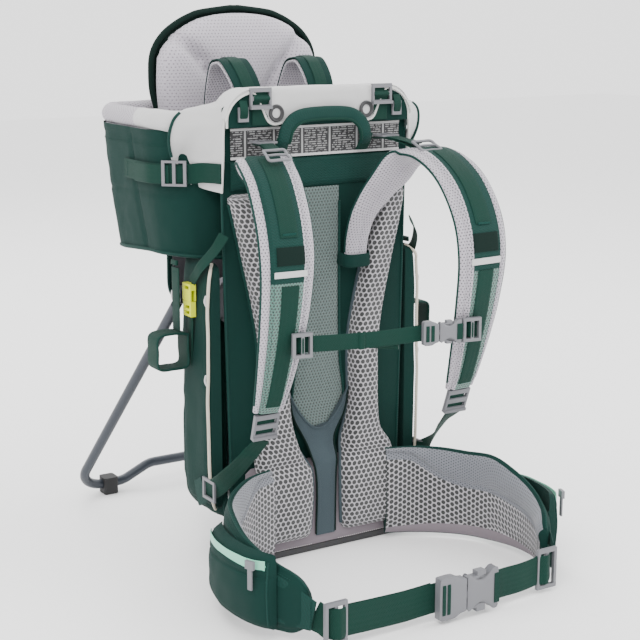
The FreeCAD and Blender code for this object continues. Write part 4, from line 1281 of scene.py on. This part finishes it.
def seatPad():
    c = seatCut
    pad = Piece("seatPad")

    def top(s, t):
        y = c["y"][0] + 3 + (c["y"][1] - c["y"][0] - 6) * t
        x = (c["half"] - 3 - nip(min(t, 1 - t) * 160, 22)) * (2 * s - 1)
        return x, y, c["low"] + c["thick"] * crown(s, 5) * crown(t, 5) - dip(abs(x) - 40, 5, 5)
    pad.skin(top, lambda s, t: (top(s, t)[0], top(s, t)[1], c["low"]), 30, 30, "headMesh")
    made = puff(pad, 6, lambda p: 0.95 if p.z < c["low"] + 4 or abs(abs(p.x) - 40) < 5 else 0.05)
    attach(made, "pack")
    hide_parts("seat_pad")
    nose = Piece("seatNose")
    half, y0, y1, high = c["nose"]

    def shape(a, t, back):
        z = c["low"] + 12 + (high - c["low"] - 12) * (1 - t)
        x = (half - nip(t * 70, 14)) * (2 * a - 1)
        full = crown(a, 5) * crown(0.5 + max(0.0, 0.5 - t * 4), 4)
        return x, (y0 + y1) / 2 + (1 if back else -1) * 12 * full, z
    nose.skin(lambda a, t: shape(a, t, False), lambda a, t: shape(a, t, True), 16, 24, "headMesh")
    nose.make("pack", "grey_mesh")


harnessCut = {
    "path": [(51, 177, 520), (54, 172, 580), (57, 152, 630), (58, 134, 641), (58, 114, 636), (55, 88, 604),
             (47, 80, 550), (31, 78, 500), (22, 78, 474)],
    "widths": [(0, 40), (0.45, 42), (0.62, 38), (0.8, 30), (1, 20)], "thick": 8.5,
}


def harness():
    c = harnessCut
    webs = Piece("harnessPads")
    for s in (-1, 1):
        path = [(s * x, y, z) for x, y, z in c["path"]]
        line = [(p, side, -out * s if out.z * s < 0 else out * s)
                for p, side, out in frames(path, (s, 0, 0), 110)]
        layers = ((1, 0.1, 0.5, "greenCloth"), (1.03, -0.5, 0.1, "spacerMesh"))  # cover, then lining
        for spread, low, high, finish in layers:
            rows = []
            for j, (p, side, out) in enumerate(line):
                half = course(c["widths"], j / 110) / 2 * spread
                row = []
                for i in range(24):
                    a = 2 * math.pi * i / 24
                    bulge = math.copysign(abs(math.sin(a)) ** 0.4, math.sin(a))
                    n = (low + high) / 2 + (high - low) / 2 * bulge
                    row.append(p + side * math.cos(a) * half + out * n * c["thick"])
                rows.append(row)
            webs.grid(rows, finish, True, True)
        top = [p + out * (c["thick"] * 0.5 + 0.8) for p, side, out in line[6:92]]
        webs.band(top[::5], 18, 1.5, "greenWeb", (s, 0, 0), 60)
    webs.band([(0, 77.5, 399), (0, 77.5, 416), (0, 77.5, 436)], 23, 2.4, "greenWeb", (1, 0, 0), 14)
    webs.make("pack", "dark_green_fabric", "harness_webs")


headPad()
headShell()
seatPad()
harness()
print("child's seat ready")

# storage bag under the seat, with wings beside the back panel

bagCut = {
    "half": 139, "y": (37, 145), "z": (42, 318), "corner": 34, "foot": 34,
    "wing": (142, 159, 7, 84, 74, 397), "pocketBack": (-92, 92, 70, 232),
}


def bagBody():
    c = bagCut
    bag = Piece("bagBody")
    low, high = c["z"]
    count, rowsDown = 150, 64

    def ringAt(t):
        z = high + (low - high) * t
        pull = nip(z - low, c["foot"]) + 0.6 * nip(high - z, 12)
        front, back = c["y"][0] + pull * 0.4, c["y"][1] - pull
        ring = tubRing(c["half"] - pull, front, back, max(8, c["corner"] - pull * 0.3), count)
        row = []
        for x, y, _ in ring:
            out = Vector((x / 139, (y - 91) / 54, 0)).normalized()
            free = 1.0 if y > 60 else 0.15
            folds = ripple((x, y, z * 0.7), 60, 5.0) + ripple((x, y, z), 22, 1.6)
            n = free * (2.6 * math.sin(math.pi * t) + folds)
            n -= free * (dip(z - 236, 2.6, 3.0) + dip(abs(x) - 104, 3.0, 2.2) * (y > 110))
            row.append(Vector((x, y, z)) + out * min(n, 3.0))
        return row
    rows = [ringAt(t / rowsDown) for t in range(rowsDown + 1)]
    bag.grid(rows, "greenCloth", True, True)
    x0, x1, z0, z1 = c["pocketBack"]

    def pocket(s, t):
        z = z1 + (z0 - z1) * t
        x = x0 + (x1 - x0) * s
        full = crown(s, 4) * crown(t, 4)
        return x, 147.2 + 3.6 * full + ripple((x, 0, z), 30, 1.4) * full, z

    def pocketFace(s, t):
        return pocket(1 - s, t)
    bag.skin(pocketFace, flattened(pocketFace, 143), 30, 30, "greenCloth")
    for a in (0.02, 0.98):
        edge = [Vector(pocket(a, t / 10)) + Vector((0, 1.2, 0)) for t in range(11)]
        bag.tube(edge, 1.5, "greenRib", 8, count=40)
    for z in (236, 232):
        i = int((high - z) / (high - low) * rowsDown)
        bag.stitches([p * 1.004 for p in rows[i][20:130:5]], pitch=3.6)
    zipTape = [(x1 - 6, 149.8, z1 - 12), (0, 151.8, z1 - 10), (x0 + 6, 149.8, z1 - 12)]
    bag.band(zipTape, 12, 1.4, "mintTape", (0, 0, 1), 40)
    for s in (-1, 1):
        x0, x1, y0, y1, z0, z1 = c["wing"]

        def skinPoint(a, t, inside):  # from the wing's front edge back, down its height
            z = z1 + (z0 - z1) * t
            y = y0 + nip(min(z - z0, z1 - z), 12) + (y1 - y0) * a
            full = crown(0.06 + 0.88 * a, 6) * crown(t, 10)
            sway = ripple((0, y, z), 48, 3.0) * full + 2.0 * math.sin(math.pi * t) * full
            return Vector((s * (x0 if inside else min(x1 + 3, x0 + 2 + (x1 - x0 - 2) * full + sway)), y, z))
        bag.skin(lambda a, t: skinPoint(a, t, False), lambda a, t: skinPoint(a, t, True), 30, 90,
                 "greenCloth")
        front = [skinPoint(0.03, t / 30, False) for t in range(31)]
        bag.tube([p + Vector((s * 3.5, -1.5, 0)) for p in front], 2.1, "creamTape", 8, count=150)
        bag.stitches([p + Vector((s * 6.5, 6, 0)) for p in front[2:-2]], pitch=3.6)
        for z in (352, 250):
            loop = [skinPoint(0.05 + 0.02 * k, (z1 - z + 7 * math.cos(k * 1.57)) / (z1 - z0), False)
                    + Vector((s * (3 + 2.5 * math.sin(k * 1.57)), -2.5, 0)) for k in range(3)]
            bag.tube(loop, 1.6, "paleCloth", 8, count=16)
    bag.make("pack", "dark_green_fabric", "lower_bag")


slingCut = {"half": 97, "back": 245.2, "under": (150, 246, 317.6), "top": 560, "thick": 2.4}


def seatSling():  # cloth behind and under the seat boards
    c = slingCut
    sling = Piece("seatSling")

    def line(x, inset):
        y0, y1, z0 = c["under"]
        pts = [(x, y0, z0 - inset), (x, y1 - 6, z0 - inset), (x, y1 + inset, z0 + 6),
               (x, c["back"] + inset, 420), (x, c["back"] + inset, c["top"])]
        return smooth(rounded(pts, 8), 60)
    rows = []
    for i in range(41):
        x = c["half"] * (2 * i / 40 - 1)
        outer = [p + Vector((0, abs(ripple(p, 42, 2.2)) if p.z > 330 else 0, 0)) for p in line(x, c["thick"])]
        rows.append(outer + line(x, 0)[::-1])
    sling.grid(rows, "greenCloth", True, True)
    for s in (-1, 1):
        sling.tube(line(s * c["half"], c["thick"] / 2)[::4], 2.0, "greenRib", 8, count=90)
        sling.stitches([p + Vector((-s * 7, 1.2, 0)) for p in line(s * c["half"], c["thick"])[22::4]])
    for x in (-50, 50):
        sling.band([(x, c["back"] + 4.4, 545), (x, c["back"] + 4.6, 440), (x, c["back"] + 4.2, 345)], 25, 1.7,
                   "greenWeb", (1, 0, 0), 50)
    sling.make("pack", "dark_green_fabric")


bagBody()
seatSling()
print("bag ready")

# webbing

webCut = {
    "thick": 1.8, "hip": 38, "strap": 25, "chest": 20, "lock": 34,
    "lifter": [(86, 4.0, 545), (89, -8, 545.5), (92, -22, 546), (98, -44, 543.5), (104, -62, 538),
               (108, -72, 532)],
    "lifterTail": [(102, -57, 544), (104, -66, 541.5)],
    "brace": [(140.5, -1, 436), (152, 2, 418), (162.5, 20, 396), (163.5, 34, 382), (164, 44, 372)],
    "braceEnd": [(164, 48, 328), (163.6, 50, 312), (162.5, 54, 290), (162.5, 58, 262)],
}


def aroundCorner(angle, offset, z):
    c = tubCut
    half = c["half"][1] - (c["half"][1] - c["half"][0]) * (560 - z) / 160
    turn, reach = math.radians(angle), c["corner"] + offset
    return half - c["corner"] + reach * math.cos(turn), c["front"] + c["corner"] - reach * math.sin(turn), z


def sideWebs():
    c = webCut
    webs = Piece("stabiliserWebs")
    for s in sides.values():
        corner = [aroundCorner(angle, 4.6, 508) for angle in (0, 16, 32, 48, 64)]
        path = [(corner[0][0] - 1, 162, 508)] + corner + [(152, 36, 510), (146, 16, 511), (141.5, 3, 511)]
        webs.band(mirrored(s, path), 25, 1.9, "greenWeb", (0, 0, 1), 90)
        tail = mirrored(s, [aroundCorner(a, 7.2, 507) for a in (-6, 10, 26, 42)])
        tail[0] = (tail[0][0] - s * 1.5, tail[0][1] + 16, 506)
        webs.band(tail, 24, 1.7, "greenWeb", (0, 0, 1), 40)
        for y in (150, 158):
            webs.stitches([(s * (corner[0][0] + 0.9), y, 498), (s * (corner[0][0] + 0.9), y, 518)], "thread")
        lifter = mirrored(s, c["lifter"])
        webs.band(lifter, 20, 1.8, "greenWeb", (s, 0, 0), 50)
        spare = [(x, y, z + 2.4) for x, y, z in lifter[2:4]] + mirrored(s, c["lifterTail"])
        webs.band(spare, 19, 1.6, "greenWeb", (s, 0, 0), 30)
        anchor = mirrored(s, [(178, 62, 399), (178.4, 62, 396), (178.6, 62, 393)])
        webs.band(anchor, 16, 4.2, "greenWeb", (0, 1, 0), 8)
        webs.band(mirrored(s, c["brace"]), 15, 1.6, "greenWeb", (0, 0.6, 0.8), 40)
        webs.band(mirrored(s, c["braceEnd"]), 15, 1.6, "greenWeb", (0, 1, 0), 30)
    webs.make("pack", "green_webbing", "stabiliser_webs")
    rings = Piece("lifterRings")
    for s in sides.values():
        at = Vector((s * 110, -79, 540))
        along, side = Vector((s * 0.12, -0.9, -0.42)).normalized(), Vector((1, 0, 0))
        outline = ((-1, -1), (0, -1.02), (1, -1), (1, 0), (1, 1), (0, 1.02), (-1, 1), (-1, 0))
        corner = [at + side * a * 14 + along * b * 11 for a, b in outline]
        rings.tube(corner, 1.9, "greyPlastic", 8, closed=True, count=64)
        bar = [at - side * 12, at + Vector((0, 0, 0.4)), at + side * 12]
        rings.band(bar, 3.4, 2.6, "greyPlastic", tuple(along), 12)
    rings.make("pack", "grey_plastic")


def lowerWebs():
    c = webCut
    webs = Piece("lowerWebs")
    for name, s in sides.items():
        before, last = (Vector(stop[:3]) for stop in strapPath(name)[-2:])
        along = (last - before).normalized()
        top = last + along * (c["lock"] + 7)
        bend = Vector((152, -66, 164))
        path = mirrored(s, [top, top.lerp(bend, 0.5), bend, (161, -26, 126), (161.6, 6, 106), (161.6, 26, 99)])
        turnTo = [(0, (1, 0, 0)), (0.45, (0.8, 0.2, 0.5)), (0.75, (0.3, 0.2, 0.9)), (1, (0, 0.3, 0.95))]

        def across(t):
            return (s * course([(k, v[0]) for k, v in turnTo], t), course([(k, v[1]) for k, v in turnTo], t),
                    course([(k, v[2]) for k, v in turnTo], t))
        webs.band(path, c["strap"], c["thick"], "greenWeb", across, 70)
        joinBack = [last + along * k for k in (-6, 3, 12, 24, c["lock"] + 6)]
        webs.band([(s * p.x, p.y + 1.2, p.z) for p in joinBack], c["strap"], 2.4, "greenWeb", (s, 0, 0), 24)
        patch = [(s * 162.2, 22, 104), (s * 162.2, 34, 96), (s * 162, 44, 92)]
        webs.band(patch, 34, 1.8, "greenRib", (0, 0.3, 0.95), 14)
    webs.make("pack", "green_webbing", "lower_webs")


def hipWebs():
    c = webCut
    webs = Piece("hipWebs")
    z = 31
    longPath = [(14, -283, z), (-20, -281, z - 1), (-60, -281.8, z - 2), (-105, -282.2, z - 1),
                (-139, -282, z)]
    shortPath = [(64, -290, z), (86, -287, z - 1), (112, -286, z - 1), (139, -282.2, z)]
    webs.band(longPath, c["hip"], c["thick"], "greenWeb", (0, 0, 1), 70)
    webs.band(shortPath, c["hip"], c["thick"], "greenWeb", (0, 0, 1), 50)
    doubled = [(x, y + 2.8, z0 + 0.6) for x, y, z0 in longPath[1:]]
    webs.band(doubled, c["hip"] - 1, 1.6, "greenWeb", (0, 0, 1), 50)
    for s in sides.values():
        loop = [(s * 138, -280.6, z), (s * 148, -285.8, z), (s * 154, -286.2, z), (s * 162, -279.4, z)]
        webs.band(loop, c["hip"], 1.7, "greenWeb", (0, 0, 1), 24)
        anchor = mirrored(s, [(158, -279.5, z), (164, -277, z + 1), (168, -270, z + 4), (173, -263, z + 8)])
        webs.band(anchor, c["hip"], 2.0, "greenWeb", (0, 0, 1), 24)
        wing = mirrored(s, [(171, -266, z + 8), (180, -250, z + 12), (192, -232, z + 18), (201, -212, z + 22)])
        outer = [(x + s * 5, y - 2, z0) for x, y, z0 in wing]
        webs.band(outer, lambda t: 38 + 26 * t, 2.2, "greenRib", (0, 0, 1), 40)
        for k in (0.12, 0.16):
            at = Vector(wing[0]).lerp(Vector(wing[1]), k) + Vector((s * 6.6, -2.6, 0))
            webs.stitches([at - Vector((0, 0, 17)), at + Vector((0, 0, 17))])
    webs.make("pack", "green_webbing", "hip_webs")


chestCut = {"female": 30, "slider": 112}


def chestLine():  # the way the chest strap runs, left to right
    release = next(j for j in frame["joints"] if j["name"] == "chest_buckle_release")
    along = Vector(release["axis"]).normalized()
    return along if along.x > 0 else -along

def chestWebs():
    c = webCut
    webs = Piece("chestWebs")
    along = chestLine()
    out = Vector((along.y, -along.x, 0))
    low, high = (Vector(corner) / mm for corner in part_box("chest_buckle_female"))
    at = (low + high) / 2 - along * chestCut["female"] / 2
    z = Vector((0, 0, 1))

    def spot(x, n, drop=0.0):
        return at + along * x + out * n - z * drop
    reach = chestCut["slider"]
    leftEnd, rightEnd = -(at.x + reach) / along.x, (reach - at.x) / along.x

    def layer(stops, width, thick, count):  # a strap through places along, out and down
        webs.band([spot(*stop) for stop in stops], width, thick, "greenWeb", (0, 0, 1), count)
    wide = c["chest"]
    main = [(-3, -6), (-30, -6, 1), (-80, -5.6, 2.5), (-130, -4, 1.4), (leftEnd + 12, -2.4)]
    keeper = [(-98, -9.6, 2.4), (-98.4, -4.0, 2.4), (-105, -3.6, 2.2), (-105.4, -9.0, 2.2)]
    tail = [(-100, -10.4, 3), (-84, -12.6, 6), (-66, -14.6, 9), (-52, -13.6, 10.5), (-50, -11.2, 10),
            (-58, -10.4, 7), (-78, -10.2, 4)]
    layer(main, wide, c["thick"], 70)
    layer([(-24, -8.2), (-50, -8.0, 1.4), (-90, -7.6, 2.6), (-112, -6.6, 2)], wide - 1, 1.6, 50)
    layer(keeper, wide + 1, 1.4, 20)
    layer(tail, wide - 2, 1.4, 70)
    layer([(27, 0), (34, 0, 0.5), (rightEnd - 12, -1.2)], wide, c["thick"], 20)
    for end in (leftEnd, rightEnd):  # loops through the sliders
        layer([(end - 11, -2), (end - 5, -4.6), (end, 3.2), (end + 5, -4.6), (end + 11, -2)], wide, 1.5, 30)
        bar = [spot(end, -4.6) - z * 15, spot(end, -5), spot(end, -4.6) + z * 15]
        webs.band(bar, 12, 1.4, "greenWeb", tuple(along), 20)
    webs.make("chest_strap", "green_webbing", "chest_webs")


handleCut = {"path": [(-62, -3, 536), (-61, -12, 549), (-56, -13, 565), (-42, -13, 577), (-20, -13, 581)],
             "wide": 17, "thick": 9}


def haulHandle():
    c = handleCut
    handle = Piece("haulHandle")
    path = c["path"] + [(-x, y, z) for x, y, z in reversed(c["path"])]
    line = frames(path, (0, 1, 0), 120)
    rows = []
    for j, (p, side, out) in enumerate(line):
        t = j / 120
        full = min(1, 0.45 + min(t, 1 - t) * 6)
        row = []
        for i in range(24):
            a = 2 * math.pi * i / 24
            y = math.copysign(abs(math.cos(a)) ** 0.8, math.cos(a)) * c["thick"] / 2 * full
            n = math.copysign(abs(math.sin(a)) ** 0.6, math.sin(a)) * c["wide"] / 2 * (0.75 + 0.25 * full)
            row.append(p + side * y + out * n + Vector((0, ripple(p + out * n, 14, 0.7), 0)))
        rows.append(row)
    handle.grid(rows, "greenRib", True, True)
    inner = [p + out * (c["wide"] / 2 - 1) * (1 if out.z < 0 or abs(p.x) > 50 and out.x * p.x < 0 else -1)
             for p, side, out in line[8:-8:4]]
    handle.tube([p + Vector((0, -3, 0)) for p in inner], 2.2, "greenWeb", 8, count=120)
    for s in (-1, 1):
        tab = mirrored(s, [(62, -1, 532), (62, -9, 541), (62, -14, 553)])
        handle.band(tab, 18, 2.6, "greenWeb", (1, 0, 0), 14)
    handle.make("haul_handle", "dark_green_fabric", "haul_handle")


stirrupCut = {
    "ring": [(168, 304), (168, 284), (169, 263), (189, 260.5), (209, 263), (210.5, 284), (209, 303),
             (189, 306.5)],
    "y": 62, "hanger": (177.3, (389.5, 350, 308)),
}

def stirrupLoop(name):
    c, s = stirrupCut, sides[name]
    loop = Piece("footLoop_" + name)
    ring = [(s * x, c["y"], z) for x, z in c["ring"]]
    rows = []
    for p, side, out in frames([*ring, ring[0]], (0, 1, 0), 80)[:-1]:
        rows.append([p + side * y + out * n for y, n in roundSection(30, 3.4, 14, 8)])
    rows.append(rows[0])
    loop.grid(rows, "greenWeb", True, False)
    for y in (48.5, 75.5):
        loop.tube([(x, y, z) for x, _, z in ring], 1.5, "greenRib", 6, closed=True, count=80)
    x, heights = c["hanger"]
    loop.band([(s * x, c["y"], z) for z in heights], 20, 2.2, "greenWeb", (0, 1, 0), 30)
    for z in (384, 318):
        loop.stitches([(s * 178.6, 54, z), (s * 178.6, 70, z)])
    loop.make("stirrup_" + name, "green_webbing", "stirrup_" + name)


sideWebs()
lowerWebs()
hipWebs()
chestWebs()
haulHandle()
for name in sides:
    stirrupLoop(name)
print("webbing ready")

# moulded shells of the belt and chest buckles, waisted where the prongs are pressed

buckleCut = {
    "hip": {"female": 46, "male": 40, "height": 52, "depth": 14, "webbing": webCut["hip"], "body": "pack",
            "release": "hip_release"},
    "chest": {"female": chestCut["female"], "male": 22, "height": 30, "depth": 10, "webbing": webCut["chest"],
              "body": "chest_strap", "release": "chest_release"},
    "shell": [(0, 0.86), (0.10, 0.84), (0.32, 0.58), (0.52, 0.56), (0.72, 0.80), (0.84, 1), (1, 1)],
    "base": [(0, 1), (0.55, 1), (0.78, 0.84), (1, 0.80)],
}


def buckleShells(kind):
    c = buckleCut[kind]
    low, high = (Vector(corner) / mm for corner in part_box(kind + "_buckle_female"))
    along = chestLine() if kind == "chest" else Vector((1, 0, 0))
    out, up = Vector((along.y, -along.x, 0)), Vector((0, 0, 1))
    mouth = (low + high) / 2 - along * c["female"] / 2
    half, deep = c["height"] / 2, c["depth"] / 2
    inner = deep - 1.6

    def plate(piece, start, end, profile, face, back, corner):
        def edge(x):
            share = (x - start) / (end - start)
            return half * course(buckleCut[profile], share) - nip(min(x - start, end - x), corner)

        def top(a, b):
            x = start + (end - start) * a
            soft = 1.5 * max(abs(2 * a - 1) ** 9, abs(2 * b - 1) ** 7) * (1 if face > back else -1)
            return mouth + along * x + out * (face - soft) + up * edge(x) * (2 * b - 1)

        def under(a, b):
            x = start + (end - start) * a
            return mouth + along * x + out * back + up * edge(x) * (2 * b - 1)
        piece.skin(top, under, 44, 16, "greyPlastic")

    female = Piece(kind + "BuckleShell")
    plate(female, 0, c["female"], "shell", deep, inner, 3)
    plate(female, 0, c["female"], "shell", -deep, -inner, 3)
    inside = 0.66 * c["female"]

    def core(face):
        def at(a, b):
            x = inside + (c["female"] - 0.6 - inside) * a
            tall = half * course(buckleCut["shell"], x / c["female"]) - nip(c["female"] - x, 3) - 0.4
            return mouth + along * x + out * face + up * tall * (2 * b - 1)
        return at
    female.skin(core(inner + 0.3), core(-inner - 0.3), 12, 8, "greyPlastic")
    for n in (deep + 0.2, -deep - 0.2):
        loop = [mouth + along * x + out * n for x in (c["female"] - 7, c["female"] - 4, c["female"] + 0.6)]
        female.band(loop, c["webbing"], 1.4, "greenWeb", tuple(up), 12)
    female.make(c["body"], "grey_plastic", kind + "_buckle_female")

    male = Piece(kind + "BuckleBase")
    plate(male, -c["male"], -0.6, "base", deep - 0.5, -deep + 0.5, 3)
    reach = 0.64 * c["female"] - 2

    def tongue(face):
        def at(a, b):
            tall = 0.08 * c["height"] * (1 - 0.4 * a ** 4)
            return mouth + along * (-0.8 + (reach + 0.8) * a) + out * face + up * tall * (2 * b - 1)
        return at
    male.skin(tongue(inner - 0.4), tongue(0.4 - inner), 12, 6, "greyPlastic")
    for x0 in (3, 10):
        slotLine = [mouth - along * (c["male"] - x0 - k) + out * (deep - 0.2) for k in (-0.4, 1.6, 3.8)]
        male.band(slotLine, c["webbing"], 1.5, "greenWeb", tuple(up), 10)
    male.make(c["release"], "grey_plastic", kind + "_buckle_male")


for kind in ("hip", "chest"):
    buckleShells(kind)
print("buckles ready")

# plastic, metal and rubber parts keep their shape and get their finish

hardware = {  # node: finish, edge softening in mm
    "base_shoe": ("darkPlastic", 1.5), "frame_uprights": ("bareTube", 0),
    "frame_cross_bars": ("bareTube", 0), "hinge_brackets": ("greyPlastic", 0.5),
    "pivot_pins": ("pinSteel", 0.3), "kickstand_tube": ("tubePaint", 0),
    "kickstand_feet": ("rubber", 0.8), "back_plate": ("stiffener", 0.6),
    "canopy_sockets": ("darkPlastic", 0.5), "top_locks": ("greyPlastic", 0.6),
    "web_rings": ("greyPlastic", 0.6), "cockpit_hoop": ("bareTube", 0),
    "seat_shell": ("stiffener", 0.8), "harness_buckle": ("darkPlastic", 0.8),
    "harness_button": ("redPlastic", 0.5), "side_buckles": ("yellowPlastic", 0.6),
    "strap_glides": ("greyPlastic", 0.6), "hip_adjusters": ("greyPlastic", 0.8),
    "zip_pull_left": ("greyPlastic", 0.4), "zip_pull_right": ("greyPlastic", 0.4),
    "hip_buckle_prong_upper": ("greyPlastic", 1.0), "hip_buckle_prong_lower": ("greyPlastic", 1.0),
    "strap_lock_left": ("greyPlastic", 0.8), "strap_lock_right": ("greyPlastic", 0.8),
    "chest_sliders": ("greyPlastic", 0.7), "chest_buckle_prong_upper": ("greyPlastic", 0.6),
    "chest_buckle_prong_lower": ("greyPlastic", 0.6),
}
for name, (finish, edge) in hardware.items():
    finishNode(name, finish, edge)
print("hardware ready")
